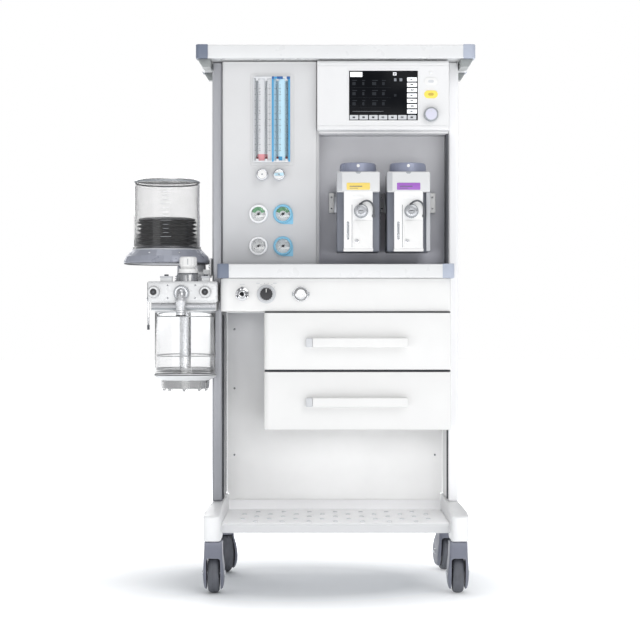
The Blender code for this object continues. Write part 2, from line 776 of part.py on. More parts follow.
def oval(width, height, steps=6):
    """A stadium outline about its own centre."""
    radius = height / 2
    reach = width / 2 - radius
    right = arc((reach, 0), radius, -90, 90, steps)
    left = arc((-reach, 0), radius, 90, 270, steps)
    return right + left


def monitor():
    """The monitor's fascia and box, with a screen in a recess, two oval keys and a turning encoder."""
    low = (SPLIT_X + 0.001, FASCIA_FRONT_Y, BAY_TOP_Z + 0.005)
    high = (INNER_X - 0.002, HOUSING_FRONT_Y - GAP, HOUSING_Z[1])
    fascia = box("monitor_fascia", low, high, WHITE, 0.003)
    case_low = (BAY_LEFT_X + GAP, HOUSING_FRONT_Y - 0.002, BAY_TOP_Z)
    join(fascia, folded_box("monitor_case", case_low, (high[0] + 0.001, BACK_Y, high[2] - 0.0005)))
    recess = box("screen_recess", (SCREEN_X[0] - 0.0005, low[1] - 0.01, SCREEN_Z[0] - 0.0005),
                 (SCREEN_X[1] + 0.0005, low[1] + 0.008, SCREEN_Z[1] + 0.0005))
    cut(fascia, recess)
    for key, z in (("alarm", ALARM_KEY_Z), ("standby", STANDBY_KEY_Z)):
        well = plate(f"{key}_well", oval(0.0364, 0.0214), 0.006, (KEY_X, low[1] + 0.0005, z), FACING_FRONT)
        cut(fascia, well)
    face_y, rear_y = low[1] + 0.001, low[1] + 0.0077
    box("display_screen", (SCREEN_X[0], face_y, SCREEN_Z[0]), (SCREEN_X[1], rear_y, SCREEN_Z[1]), DARK)
    for key, z, finish in (("alarm", ALARM_KEY_Z, WHITE), ("standby", STANDBY_KEY_Z, YELLOW)):
        key_at = (KEY_X, low[1] - 0.0001, z)
        cap = plate(f"{key}_key", oval(0.035, 0.020), 0.003, key_at, FACING_FRONT, finish)
        bevel(cap, 0.0006, 1)
    profile = [
        (0, 0.016),
        (ENCODER_R - 0.004, 0.016),
        (ENCODER_R - 0.002, 0.014),
        (ENCODER_R, 0.002),
        (ENCODER_R, 0.0),
        (0, 0.0),
    ]
    turned("encoder_knob", profile, (KEY_X, low[1] - RUN_GAP, ENCODER_Z), BLUE_GREY, FACING_FRONT, 20)


def top_tray():
    """A shelf with a raised rim and four gussets that reach down outside the posts."""
    x, (front, back) = TOP_TRAY_X, TOP_TRAY_Y
    corner = 0.008
    outline = [
        *arc((x - corner, front + corner), corner, -90, 0, 3),
        *arc((x - corner, back - corner), corner, 0, 90, 3),
        *arc((corner - x, back - corner), corner, 90, 180, 3),
        *arc((corner - x, front + corner), corner, 180, 270, 3),
    ]
    middle = (TOP_Z[0] + TOP_Z[1]) / 2
    shelf = plate("top_tray", outline, TOP_Z[1] - TOP_Z[0], (0, 0, middle), UPRIGHT, WHITE)
    bevel(shelf, 0.003)
    rim = 0.014
    recess_low, recess_high = (rim - x, front + rim, TOP_Z[0] + 0.018), (x - rim, back - rim, TOP_Z[1] + 0.01)
    cut(shelf, box("tray_recess", recess_low, recess_high))
    hollow_x, hollow_y = x - 0.045, (front + 0.025, POST_Y[0] - 0.010)
    hollow_z = (TOP_Z[0] - 0.01, TOP_Z[0] + 0.014)
    hollow_low, hollow_high = (-hollow_x, hollow_y[0], hollow_z[0]), (hollow_x, hollow_y[1], hollow_z[1])
    cut(shelf, box("tray_hollow", hollow_low, hollow_high))
    inner_x, root_z = POST_OUT + 0.0005, TOP_Z[0] + 0.002
    gusset = [(inner_x, GUSSET_FOOT[1]), GUSSET_FOOT, (GUSSET_TOP_X, root_z), (inner_x, root_z)]
    for side in (-1, 1):
        mirrored = [(side * px, pz) for px, pz in gusset]
        for end, y in (("front", POST_Y[0] + GUSSET_W / 2), ("rear", POST_Y[1] - GUSSET_W / 2)):
            join(shelf, plate(f"gusset_{end}_{side + 1}", mirrored, GUSSET_W, (0, y, 0), FACING_FRONT))


def upper_section():
    upper_housing()
    flow_panel()
    gauge_needles()
    flowmeters()
    monitor()
    top_tray()


# ---------------------------------------------------------------- vaporizers


def vaporizer_bar():
    """The manifold bar across the bay, which the vaporizers hang on."""
    low = (BAR_X[0], VAPORIZER_Y[1] + RUN_GAP, BAR_Z[0])
    high = (BAR_X[1], BAY_BACK_Y - GAP, BAR_Z[1])
    box("vaporizer_bar", low, high, WHITE, 0.003)


def vaporizer(side, x):
    """A wide head on a narrower body with a raised front cover, a turning dial on top and a filler cap."""
    name = f"vaporizer_{side}"
    half = VAPORIZER_W / 2
    front, back = VAPORIZER_Y
    origin = (x, back, VAPORIZER_Z[0])
    body_low = (x - half, front + 0.012, VAPORIZER_Z[0] + 0.006)
    body = box(name, body_low, (x + half, back, VAPORIZER_HEAD_Z + 0.004), WHITE, 0.003, 2, origin)
    head = box(f"{name}_head", (x - half, front + 0.006, VAPORIZER_HEAD_Z), (x + half, back, VAPORIZER_Z[1]),
               None, 0.004)
    join(body, head)
    cover_half = VAPORIZER_COVER_W / 2
    cover = box(f"{name}_cover", (x - cover_half, front, VAPORIZER_Z[0] + 0.001),
                (x + cover_half, front + 0.030, VAPORIZER_Z[1] - 0.002), None, 0.004)
    join(body, cover)
    flange = box(f"{name}_flange", (x - half - 0.001, front + 0.004, VAPORIZER_Z[0]),
                 (x + half + 0.001, back - 0.001, VAPORIZER_Z[0] + 0.0055))
    join(body, flange)
    spout_at = (x + FILLER_X, front - 0.002, FILLER_Z)
    spout = cylinder(f"{name}_spout", spout_at, 0.012, 0.016, None, FACING_FRONT, 20)
    join(body, spout)
    height = DIAL_Z[1] - DIAL_Z[0]
    dial_profile = [
        (0, height),
        (DIAL_R - 0.006, height),
        (DIAL_R - 0.003, height - 0.002),
        (DIAL_R, 0.002),
        (DIAL_R, 0),
        (0, 0),
    ]
    turned(f"vaporizer_dial_{side}", dial_profile, (x, DIAL_Y, DIAL_Z[0] - 0.0025), DIAL_BLUE, UPRIGHT, 28)
    cap_profile = [
        (0, 0.020),
        (FILLER_R - 0.003, 0.020),
        (FILLER_R - 0.001, 0.018),
        (FILLER_R, 0.003),
        (FILLER_R, 0),
        (0, 0),
    ]
    at = (x + FILLER_X, front - 0.010 - GAP, FILLER_Z)
    turned(f"filler_cap_{side}", cap_profile, at, CARD_GREY, FACING_FRONT, 20)


def vaporizers():
    vaporizer_bar()
    for side, x in zip(("left", "right"), VAPORIZER_X):
        vaporizer(side, x)


# ---------------------------------------------------------------- breathing system


def breathing_block():
    """The block beside the post: two ports on its front, the bellows' neck and a valve seat on its top."""
    low = (BLOCK_X[0], BLOCK_Y[0], BLOCK_Z[0])
    high = (BLOCK_X[1], BLOCK_Y[1], BLOCK_Z[1])
    block = box("breathing_block", low, high, WHITE, 0.004)
    head_low, head_high = (HEAD_X[0], low[1] + 0.004, HEAD_Z), (HEAD_X[1], high[1] - 0.004, low[2] + 0.004)
    head = box("canister_head", head_low, head_high, None, 0.002)
    join(block, head)
    notch_low = (-POST_OUT - RUN_GAP, POST_Y[0] - RUN_GAP, HEAD_Z - 0.01)
    cut(block, box("post_notch", notch_low, (high[0] + 0.01, high[1] + 0.01, high[2] + 0.005)))
    for index, x in enumerate(PORT_X):
        port_at = (x, low[1] - 0.008, PORT_Z)
        port = cylinder(f"port_{index}", port_at, 0.0125, 0.020, None, FACING_FRONT, 20, 0.0115)
        join(block, port)
        bore_at = (x, low[1] - 0.010, PORT_Z)
        bore = cylinder(f"port_bore_{index}", bore_at, 0.0085, 0.050, None, FACING_FRONT, 16)
        cut(block, bore)
    neck_profile = [(0, 0.050), (0.030, 0.050), (0.034, 0.046), (0.037, 0.030), (0.042, 0.0), (0, 0.0)]
    join(block, turned("bellows_neck", neck_profile, (-0.372, 0.190, BLOCK_Z[1] - 0.002), None, UPRIGHT, 24))
    seat = turned("valve_seat", [(0, 0.032), (0.022, 0.032), (0.024, 0.028), (0.024, 0.0), (0, 0.0)],
                  (APL_X, APL_Y, BLOCK_Z[1] - 0.002), None, UPRIGHT, 24)
    join(block, seat)
    for index, (x, width) in enumerate(((-0.430, 0.030), (-0.330, 0.020))):
        boss_low, boss_high = (x - width / 2, 0.080, BLOCK_Z[1] - 0.004), (x + width / 2, 0.100, 0.795)
        boss = box(f"sensor_boss_{index}", boss_low, boss_high)
        join(block, boss)
    join(block, box("bracket_shelf", (-0.372, 0.170, 0.795), (-0.3215, 0.220, 0.815)))
    join(block, box("post_bracket", (-0.3242, 0.165, 0.800), (-0.3200, 0.225, 0.845), None, 0.001))


def bag_port():
    """The bag's elbow: a round boss on the block's front and a tube that turns down."""
    at = (BAG_PORT_X, BLOCK_Y[0] - GAP, PORT_Z - 0.003)
    elbow = turned("bag_port", [(0, 0.014), (0.0175, 0.014), (0.0195, 0.012), (0.0195, 0.0), (0, 0.0)],
                   at, WHITE, FACING_FRONT, 24)
    bend_y = at[1] - 0.022
    knuckle = cylinder("bag_knuckle", (at[0], bend_y + 0.002, at[2]), 0.0125, 0.030, None, FACING_FRONT, 20)
    join(elbow, knuckle)
    down_profile = [
        (0, 0.058),
        (0.0115, 0.058),
        (0.0145, 0.050),
        (0.0145, 0.036),
        (0.0122, 0.024),
        (0.0122, 0.0),
        (0, 0.0),
    ]
    spout = turned("bag_spout", down_profile, (at[0], bend_y - 0.0005, 0.695), None, UPRIGHT, 16)
    join(elbow, spout)
    bore = cylinder("bag_bore", (at[0], bend_y - 0.0005, 0.705), 0.009, 0.044, None, UPRIGHT, 16)
    cut(elbow, bore)


def bellows_base():
    """The turned plate under the bellows, with a flared skirt and a locating step for the dome."""
    low, high = BELLOWS_BASE_Z
    step = high - low
    profile = [
        (0, step),
        (0.080, step),
        (0.082, step - 0.0045),
        (0.0895, step - 0.0045),
        (0.092, step - 0.008),
        (0.099, step - 0.015),
        (0.107, step - 0.023),
        (BELLOWS_BASE_R - 0.001, 0.006),
        (BELLOWS_BASE_R, 0.002),
        (BELLOWS_BASE_R - 0.002, 0.0),
        (0, 0.0),
    ]
    base = turned("bellows_base", profile, (BELLOWS_X, BELLOWS_Y, low), BLUE_GREY, UPRIGHT, 32)
    notch = cylinder("neck_notch", (-0.372, 0.190, low), 0.0305, 0.0015, None, UPRIGHT, 24)
    cut(base, notch)


def bellows():
    """Pleated rubber bellows that stand in the dome, under a rigid top disc."""
    low, high = BELLOWS_Z
    pitch = (high - low) / BELLOWS_PLEATS
    profile = [(BELLOWS_R - 0.013, high - low)]
    for pleat in range(BELLOWS_PLEATS):
        top = high - low - pleat * pitch
        profile.append((BELLOWS_R, top - 0.3 * pitch))
        profile.append((BELLOWS_R, top - 0.5 * pitch))
        if pleat < BELLOWS_PLEATS - 1:
            profile.append((BELLOWS_R - 0.009, top - pitch))
    profile.append((BELLOWS_R - 0.015, 0.0))
    outer = [(0, high - low), *profile, (0, 0.0)]
    turned("bellows", outer, (BELLOWS_X, BELLOWS_Y, low), BELLOWS_BLACK, UPRIGHT, 24)
    disc_r = BELLOWS_R - 0.003
    disc = [(0, 0.006), (disc_r - 0.007, 0.006), (disc_r, 0.003), (disc_r, 0.0), (0, 0.0)]
    turned("bellows_disc", disc, (BELLOWS_X, BELLOWS_Y, high + GAP), DARK, UPRIGHT, 28)
    foot = [(0, 0.0065), (0.058, 0.0065), (0.062, 0.0), (0, 0.0)]
    foot_at = (BELLOWS_X, BELLOWS_Y, BELLOWS_BASE_Z[1] - 0.0005)
    join(bpy.data.objects["bellows_base"], turned("bellows_foot", foot, foot_at, None, UPRIGHT, 28))


def bellows_dome():
    """A clear cover with a rounded shoulder and a small vent in its top."""
    height = DOME_TOP_Z - (BELLOWS_BASE_Z[1] - 0.004)
    outside, inside = DOME_R, DOME_R - DOME_WALL
    shoulder = 0.010
    profile = [
        (0.004, height),
        (outside - shoulder, height),
        (outside - 0.003, height - 0.003),
        (outside, height - shoulder),
        (outside, 0.006),
        (outside + 0.0025, 0.006),
        (outside + 0.0025, 0.0),
        (inside + 0.0005, 0.0),
        (inside, height - shoulder),
        (inside - 0.002, height - 0.005),
        (inside - shoulder, height - DOME_WALL),
        (0.004, height - DOME_WALL),
    ]
    at = (BELLOWS_X, BELLOWS_Y, BELLOWS_BASE_Z[1] - 0.004)
    turned("bellows_dome", profile, at, CLEAR, UPRIGHT, 32, True)


def apl_knob():
    """The adjustable pressure-limiting valve's knob."""
    height = APL_Z[1] - APL_Z[0]
    profile = [
        (0, height),
        (APL_R - 0.003, height),
        (APL_R - 0.001, height - 0.002),
        (APL_R, height - 0.006),
        (APL_R, 0.008),
        (APL_R - 0.003, 0.006),
        (APL_R - 0.004, 0.0),
        (0, 0.0),
    ]
    turned("apl_knob", profile, (APL_X, APL_Y, APL_Z[0]), WHITE, UPRIGHT, 24)


def absorber_canister():
    """A clear double-walled canister with a middle tube, on a dark bottom plate with a footed cage."""
    low, high = CANISTER_Z
    floor = 0.046
    top = high - low
    radius = CANISTER_R
    profile = [
        (0.0115, top),
        (0.0145, top),
        (0.0145, floor),
        (radius - 0.004, floor),
        (radius - 0.004, top),
        (radius, top),
        (radius, floor - 0.001),
        (radius + 0.0015, floor - 0.003),
        (radius + 0.0015, floor - 0.008),
        (radius - 0.012, 0.030),
        (radius - 0.016, 0.008),
        (radius - 0.020, 0.006),
        (0.0115, 0.006),
    ]
    at = (CANISTER_X, CANISTER_Y, low)
    canister = turned("absorber_canister", profile, at, CLEAR, UPRIGHT, 28, True)
    for tooth in range(CANISTER_TEETH):
        angle = tau * tooth / CANISTER_TEETH
        reach = radius - 0.024
        place = (at[0] + reach * cos(angle), at[1] + reach * sin(angle), low + 0.006)
        join(canister, cylinder(f"canister_tooth_{tooth}", place, 0.004, 0.012, None, UPRIGHT, 6))


def canister_lever():
    """The release lever on the block's left side, hanging down beside the canister."""
    at = (LEVER_X, CANISTER_Y, LEVER_Z)
    boss = cylinder("canister_lever", at, 0.009, 0.005, COLUMN_GREY, FACING_RIGHT, 16)
    half, grip_half, bend_z, end_z = 0.0035, 0.0045, -0.066, -0.078
    left = [(-grip_half, end_z), (-half, bend_z), (-half, 0)]
    outline = left + [(-x, z) for x, z in reversed(left)]
    join(boss, plate("lever_arm", outline, 0.005, at, SIDE_VIEW))


def breathing_system():
    breathing_block()
    bag_port()
    bellows_base()
    bellows()
    bellows_dome()
    apl_knob()
    absorber_canister()
    canister_lever()


def main():
    trolley()
    drawers()
    controls()
    upper_section()
    vaporizers()
    breathing_system()


main()
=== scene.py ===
"""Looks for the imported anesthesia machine: camera, studio, materials and detailed pieces round the CAD frame.

Metres, +Z up, the front faces -Y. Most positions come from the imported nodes' boxes, and the others are
coordinates of the trolley (see at). A piece's mesh holds its place in the row frame, so object coordinates in
the materials are the machine's own coordinates at rest.
"""

import json
from math import cos, pi, radians, sin, sqrt, tan, tau

import bmesh
import bpy
from mathutils import Matrix, Vector


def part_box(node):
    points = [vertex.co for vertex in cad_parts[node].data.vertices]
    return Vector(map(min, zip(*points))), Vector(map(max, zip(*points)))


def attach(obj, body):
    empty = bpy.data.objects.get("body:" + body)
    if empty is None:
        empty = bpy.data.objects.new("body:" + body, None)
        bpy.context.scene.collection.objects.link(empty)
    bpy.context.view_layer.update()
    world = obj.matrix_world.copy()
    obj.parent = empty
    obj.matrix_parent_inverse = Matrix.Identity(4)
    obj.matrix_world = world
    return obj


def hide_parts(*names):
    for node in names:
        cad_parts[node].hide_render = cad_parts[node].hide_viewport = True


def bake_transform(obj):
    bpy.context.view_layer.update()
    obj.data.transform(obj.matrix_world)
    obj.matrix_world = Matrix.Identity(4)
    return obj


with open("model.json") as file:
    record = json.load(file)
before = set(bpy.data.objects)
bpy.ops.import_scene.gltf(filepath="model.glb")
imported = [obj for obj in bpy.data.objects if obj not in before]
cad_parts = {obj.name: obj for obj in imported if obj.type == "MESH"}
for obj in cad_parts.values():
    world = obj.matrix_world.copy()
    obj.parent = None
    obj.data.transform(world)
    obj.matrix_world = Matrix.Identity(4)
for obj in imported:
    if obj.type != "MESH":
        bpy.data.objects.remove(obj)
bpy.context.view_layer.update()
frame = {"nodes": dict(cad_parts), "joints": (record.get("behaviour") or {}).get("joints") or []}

UP = Vector((0, 0, 1))
FRONT = Vector((0, -1, 0))
BACK = Vector((0, 1, 0))
RIGHT = Vector((1, 0, 0))
LEFT = Vector((-1, 0, 0))


# ---------------------------------------------------------------- outlines


def arc(centre, radius, start, end, steps=8):
    """Points on an arc in a plane, angles in degrees."""
    angles = [radians(start + (end - start) * step / steps) for step in range(steps + 1)]
    return [(centre[0] + radius * cos(a), centre[1] + radius * sin(a)) for a in angles]


def soften(points, radius, steps=4, closed=True):
    """The outline with every corner rounded to about this radius."""
    result = []
    last = len(points) - 1
    for index, point in enumerate(points):
        corner = Vector(point)
        before = Vector(points[index - 1]) - corner
        after = Vector(points[(index + 1) % len(points)]) - corner
        is_end = not closed and index in (0, last)
        if is_end or before.length < 1e-7 or after.length < 1e-7:
            result.append(tuple(corner))
            continue
        half = before.angle(after) / 2
        if half > radians(86):
            result.append(tuple(corner))
            continue
        reach = min(radius / tan(half), 0.48 * before.length, 0.48 * after.length)
        start = corner + before.normalized() * reach
        end = corner + after.normalized() * reach
        for step in range(steps + 1):
            t = step / steps
            result.append(tuple((1 - t) ** 2 * start + 2 * t * (1 - t) * corner + t * t * end))
    return result


def rectangle(low, high, radius=0.0, steps=4):
    points = [(low[0], low[1]), (high[0], low[1]), (high[0], high[1]), (low[0], high[1])]
    return soften(points, radius, steps) if radius else points


def oval(centre, width, height, steps=10):
    """A stadium outline."""
    radius = height / 2
    reach = width / 2 - radius
    right = arc((centre[0] + reach, centre[1]), radius, -90, 90, steps)
    return right + arc((centre[0] - reach, centre[1]), radius, 90, 270, steps)


def inset(outline, distance):
    """The closed outline moved inwards by a distance."""
    area = sum(a[0] * b[1] - b[0] * a[1] for a, b in zip(outline, outline[1:] + outline[:1]))
    side = 1 if area > 0 else -1
    result = []
    for index, point in enumerate(outline):
        a = (Vector(point) - Vector(outline[index - 1])).normalized()
        b = (Vector(outline[(index + 1) % len(outline)]) - Vector(point)).normalized()
        normal = Vector((-a.y - b.y, a.x + b.x))
        length = normal.length
        if length < 1e-6:
            result.append(tuple(point))
            continue
        stretch = min(2.0, 2 / length)
        result.append(tuple(Vector(point) + normal / length * side * distance * stretch))
    return result


def smooth_path(points, steps=8):
    """A Catmull-Rom curve through points in space."""
    points = [Vector(p) for p in points]
    ends = [2 * points[0] - points[1], *points, 2 * points[-1] - points[-2]]
    path = []
    for a, b, c, d in zip(ends, ends[1:], ends[2:], ends[3:]):
        for step in range(steps):
            t = step / steps
            squared = (2 * a - 5 * b + 4 * c - d) * t * t
            cubed = (3 * b - a - 3 * c + d) * t**3
            path.append(0.5 * (2 * b + (c - a) * t + squared + cubed))
    return path + [points[-1]]


# ---------------------------------------------------------------- solids


def place_of(axis, u, v, w):
    """A point whose outline lies across the axis: u and v in the outline's plane, w along the axis."""
    return {"x": (w, u, v), "y": (u, w, v), "z": (u, v, w)}[axis]


def loft(rings, closed=False, caps=True):
    """A solid through rings of equally many points, with flat ends."""
    bm = bmesh.new()
    layers = [[bm.verts.new(point) for point in ring] for ring in rings]
    pairs = list(zip(layers, layers[1:]))
    if closed:
        pairs.append((layers[-1], layers[0]))
    for a, b in pairs:
        for index in range(len(a)):
            after = (index + 1) % len(a)
            bm.faces.new((a[index], a[after], b[after], b[index]))
    if caps and not closed:
        bm.faces.new(layers[0])
        bm.faces.new(layers[-1])
    bmesh.ops.recalc_face_normals(bm, faces=bm.faces)
    return bm


def prism(outline, low, high, rim=0.001, axis="z", steps=3, rim_low=None):
    """An outline thickened along an axis from low to high, with rounded rims."""
    rim_low = rim if rim_low is None else rim_low
    rings = []
    for size, end, inward in ((rim_low, low, 1), (rim, high, -1)):
        turns = [step / steps for step in range(steps + 1)] if size else [1]
        ends = []
        for turn in turns:
            angle = turn * pi / 2
            ring = inset(outline, size * (1 - sin(angle))) if size else outline
            depth = end + inward * size * (1 - cos(angle)) if size else end
            ends.append([place_of(axis, u, v, depth) for u, v in ring])
        rings.append(ends)
    return loft(rings[0] + rings[1][::-1])


def brick(low, high, radius=0.001, segments=3):
    """A box with rounded edges."""
    low, high = Vector(low), Vector(high)
    bm = bmesh.new()
    bmesh.ops.create_cube(bm, size=1)
    bmesh.ops.scale(bm, vec=high - low, verts=bm.verts)
    bmesh.ops.translate(bm, vec=(low + high) / 2, verts=bm.verts)
    if radius:
        bmesh.ops.bevel(bm, geom=bm.edges, offset=radius, segments=segments, profile=0.5, affect="EDGES",
                        clamp_overlap=True)
    return bm


def lathe(profile, centre=(0, 0, 0), axis=UP, steps=64, ring=False, flutes=0, flute_depth=0.0,
          flute_span=None):
    """A solid turned from (radius, height) points. Flutes are grooves round the heights in the span."""
    bm = bmesh.new()
    layers = []
    for radius, height in profile:
        if radius < 1e-7:
            layers.append([bm.verts.new((0, 0, height))])
            continue
        in_span = flutes and flute_span[0] <= height <= flute_span[1]
        layer = []
        for step in range(steps):
            angle = tau * step / steps
            groove = flute_depth * (0.5 - 0.5 * cos(flutes * angle)) if in_span else 0
            reach = radius - groove
            layer.append(bm.verts.new((reach * cos(angle), reach * sin(angle), height)))
        layers.append(layer)
    pairs = list(zip(layers, layers[1:]))
    if ring:
        pairs.append((layers[-1], layers[0]))
    for a, b in pairs:
        for step in range(steps):
            after = (step + 1) % steps
            corners = (a[step % len(a)], a[after % len(a)], b[after % len(b)], b[step % len(b)])
            corners = list(dict.fromkeys(corners))
            if len(corners) > 2:
                bm.faces.new(corners)
    bmesh.ops.recalc_face_normals(bm, faces=bm.faces)
    turn = UP.rotation_difference(Vector(axis)).to_matrix().to_4x4()
    bm.transform(Matrix.Translation(Vector(centre)) @ turn)
    return bm


def disc(centre, radius, depth, axis=UP, rim=0.0005, steps=32):
    """A short cylinder with rounded rims, from its centre's plane along the axis."""
    profile = [(0, 0), (radius, 0), (radius, depth), (0, depth)]
    return lathe(soften(profile, rim, 3, closed=False) if rim else profile, centre, axis, steps)


def pipe(path, radius, sides=12):
    """A round bar along points in space, with domed ends; the radius may be a list, one for each point."""
    path = [Vector(p) for p in path]
    radii = radius if isinstance(radius, (list, tuple)) else [radius] * len(path)
    tangents = []
    for index in range(len(path)):
        after = path[min(index + 1, len(path) - 1)]
        before = path[max(index - 1, 0)]
        tangents.append((after - before).normalized())
    side = tangents[0].orthogonal().normalized()
    rings = []
    for index, (point, tangent) in enumerate(zip(path, tangents)):
        if index:
            side = (tangents[index - 1].rotation_difference(tangent)) @ side
        across = tangent.cross(side)
        angles = [tau * step / sides for step in range(sides)]
        rings.append([point + radii[index] * (cos(a) * side + sin(a) * across) for a in angles])
    for at_start in (True, False):
        point, tangent = (path[0], -tangents[0]) if at_start else (path[-1], tangents[-1])
        ring = rings[0] if at_start else rings[-1]
        size = radii[0] if at_start else radii[-1]
        for share, forward in ((0.8, 0.45), (0.35, 0.6)):
            dome = [point + (Vector(p) - point) * share + tangent * size * forward for p in ring]
            rings = [dome] + rings if at_start else rings + [dome]
    return loft(rings)


def carve(shape, *cutters):
    """The shape with the cutters taken out of it."""
    shapes = []
    for bm in (shape, *cutters):
        mesh = bpy.data.meshes.new("carving")
        bm.to_mesh(mesh)
        bm.free()
        helper = bpy.data.objects.new("carving", mesh)
        bpy.context.scene.collection.objects.link(helper)
        shapes.append(helper)
    for cutter in shapes[1:]:
        modifier = shapes[0].modifiers.new("cut", "BOOLEAN")
        modifier.operation = "DIFFERENCE"
        modifier.object = cutter
    result = bmesh.new()
    result.from_object(shapes[0], bpy.context.evaluated_depsgraph_get())
    for helper in shapes:
        mesh = helper.data
        bpy.data.objects.remove(helper)
        bpy.data.meshes.remove(mesh)
    return result


def moved(shape, matrix):
    shape.transform(matrix)
    return shape


def numeral(text, size, centre, facing=FRONT, up=UP, depth=0.0002):
    """Raised printed digits, centred on a point and read from the side that they face."""
    curve = bpy.data.curves.new("numeral", "FONT")
    curve.body = text
    curve.size = size
    curve.align_x = "CENTER"
    curve.align_y = "CENTER"
    curve.extrude = depth / 2
    curve.resolution_u = 2
    helper = bpy.data.objects.new("numeral", curve)
    bpy.context.scene.collection.objects.link(helper)
    mesh = bpy.data.meshes.new_from_object(helper.evaluated_get(bpy.context.evaluated_depsgraph_get()))
    bm = bmesh.new()
    bm.from_mesh(mesh)
    bmesh.ops.remove_doubles(bm, verts=bm.verts, dist=1e-6)
    bpy.data.objects.remove(helper)
    bpy.data.curves.remove(curve)
    bpy.data.meshes.remove(mesh)
    facing, up = Vector(facing), Vector(up)
    across = up.cross(facing)
    turn = Matrix((across, up, facing)).transposed().to_4x4()
    return moved(bm, Matrix.Translation(Vector(centre)) @ turn)


def piece(name, parts, body, replaces=(), angle=32):
    mesh = bpy.data.meshes.new(name)
    joined = bmesh.new()
    for shape, look in parts:
        if look.name not in [m.name for m in mesh.materials]:
            mesh.materials.append(look)
        index = [m.name for m in mesh.materials].index(look.name)
        for face in shape.faces:
            face.material_index = index
        part = bpy.data.meshes.new("part")
        shape.to_mesh(part)
        shape.free()
        joined.from_mesh(part)
        bpy.data.meshes.remove(part)
    joined.to_mesh(mesh)
    joined.free()
    mesh.shade_smooth()
    mesh.set_sharp_from_angle(angle=radians(angle))
    built = bpy.data.objects.new(name, mesh)
    bpy.context.scene.collection.objects.link(built)
    if body:
        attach(built, body)
    if replaces:
        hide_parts(*replaces)
    return built


# ---------------------------------------------------------------- materials


def new_material(name):
    look = bpy.data.materials.new(name)
    look.use_nodes = True
    tree = look.node_tree
    return look, tree, tree.nodes["Principled BSDF"]


def noise(tree, scale, stretch=(1, 1, 1), detail=3.0, seed=0.0):
    """A noise factor laid out in the machine's own coordinates."""
    coordinates = tree.nodes.new("ShaderNodeTexCoord")
    mapping = tree.nodes.new("ShaderNodeMapping")
    mapping.inputs["Scale"].default_value = stretch
    mapping.inputs["Location"].default_value = (seed, seed * 0.7, seed * 1.3)
    texture = tree.nodes.new("ShaderNodeTexNoise")
    texture.inputs["Scale"].default_value = scale
    texture.inputs["Detail"].default_value = detail
    tree.links.new(coordinates.outputs["Object"], mapping.inputs["Vector"])
    tree.links.new(mapping.outputs["Vector"], texture.inputs["Vector"])
    return texture.outputs["Fac"]


def ranged(tree, value, low, high, from_low=0.3, from_high=0.7):
    """The value brought from one range to another, held at its ends."""
    node = tree.nodes.new("ShaderNodeMapRange")
    node.inputs["From Min"].default_value = from_low
    node.inputs["From Max"].default_value = from_high
    node.inputs["To Min"].default_value = low
    node.inputs["To Max"].default_value = high
    tree.links.new(value, node.inputs["Value"])
    return node.outputs["Result"]


def blended(tree, factor, first, second):
    """A colour mixed by a factor; each side is a colour or another node's output."""
    node = tree.nodes.new("ShaderNodeMix")
    node.data_type = "RGBA"
    tree.links.new(factor, node.inputs["Factor"])
    for name, side in (("A", first), ("B", second)):
        socket = next(s for s in node.inputs if s.name == name and s.type == "RGBA")
        if isinstance(side, bpy.types.NodeSocket):
            tree.links.new(side, socket)
        else:
            socket.default_value = (*side, 1)
    return next(s for s in node.outputs if s.type == "RGBA")


def height_of(tree, axis="Z"):
    """How far along an axis a point of the machine lies."""
    coordinates = tree.nodes.new("ShaderNodeTexCoord")
    split = tree.nodes.new("ShaderNodeSeparateXYZ")
    tree.links.new(coordinates.outputs["Object"], split.inputs["Vector"])
    return split.outputs[axis]


def scaled(colour, factor):
    return tuple(min(1.0, channel * factor) for channel in colour)


def finish(name, colour, roughness=0.4, metallic=0.0, mottle=0.03, patch=14, grain=1400, relief=0.12,
           stretch=(1, 1, 1), fade=None, wear=0.0, wear_colour=(0.9, 0.9, 0.9), roughness_swing=0.08,
           **sockets):
    """A Principled material with mottled colour, uneven gloss and a fine grain.

    fade is (axis, start, end, colour at the start), for a surface that changes tone along the machine; on the
    left post, the flow panel and the bay walls it paints shade, darker towards the bottom.
    wear lightens the sharp edges.
    """
    look, tree, shader = new_material(name)
    cloud = noise(tree, patch, stretch, 4.0)
    tone = blended(tree, ranged(tree, cloud, 0, 1), scaled(colour, 1 - mottle), scaled(colour, 1 + mottle))
    if fade:
        axis, start, end, first = fade
        share = ranged(tree, height_of(tree, axis), 0, 1, start, end)
        pale = blended(tree, ranged(tree, cloud, 0, 1), scaled(first, 1 - mottle), scaled(first, 1 + mottle))
        tone = blended(tree, share, pale, tone)
    if wear:
        geometry = tree.nodes.new("ShaderNodeNewGeometry")
        edge = ranged(tree, geometry.outputs["Pointiness"], 0, wear, 0.52, 0.60)
        tone = blended(tree, edge, tone, wear_colour)
    tree.links.new(tone, shader.inputs["Base Color"])
    smudge = noise(tree, patch * 2.3, stretch, 2.0, seed=3.1)
    low, high = max(0.02, roughness - roughness_swing), min(1.0, roughness + roughness_swing)
    tree.links.new(ranged(tree, smudge, low, high), shader.inputs["Roughness"])
    bump = tree.nodes.new("ShaderNodeBump")
    bump.inputs["Strength"].default_value = relief
    bump.inputs["Distance"].default_value = 0.0004
    tree.links.new(noise(tree, grain, stretch, 2.0, seed=1.7), bump.inputs["Height"])
    tree.links.new(bump.outputs["Normal"], shader.inputs["Normal"])
    shader.inputs["Metallic"].default_value = metallic
    for socket, value in sockets.items():
        shader.inputs[socket.replace("_", " ")].default_value = value
    return look


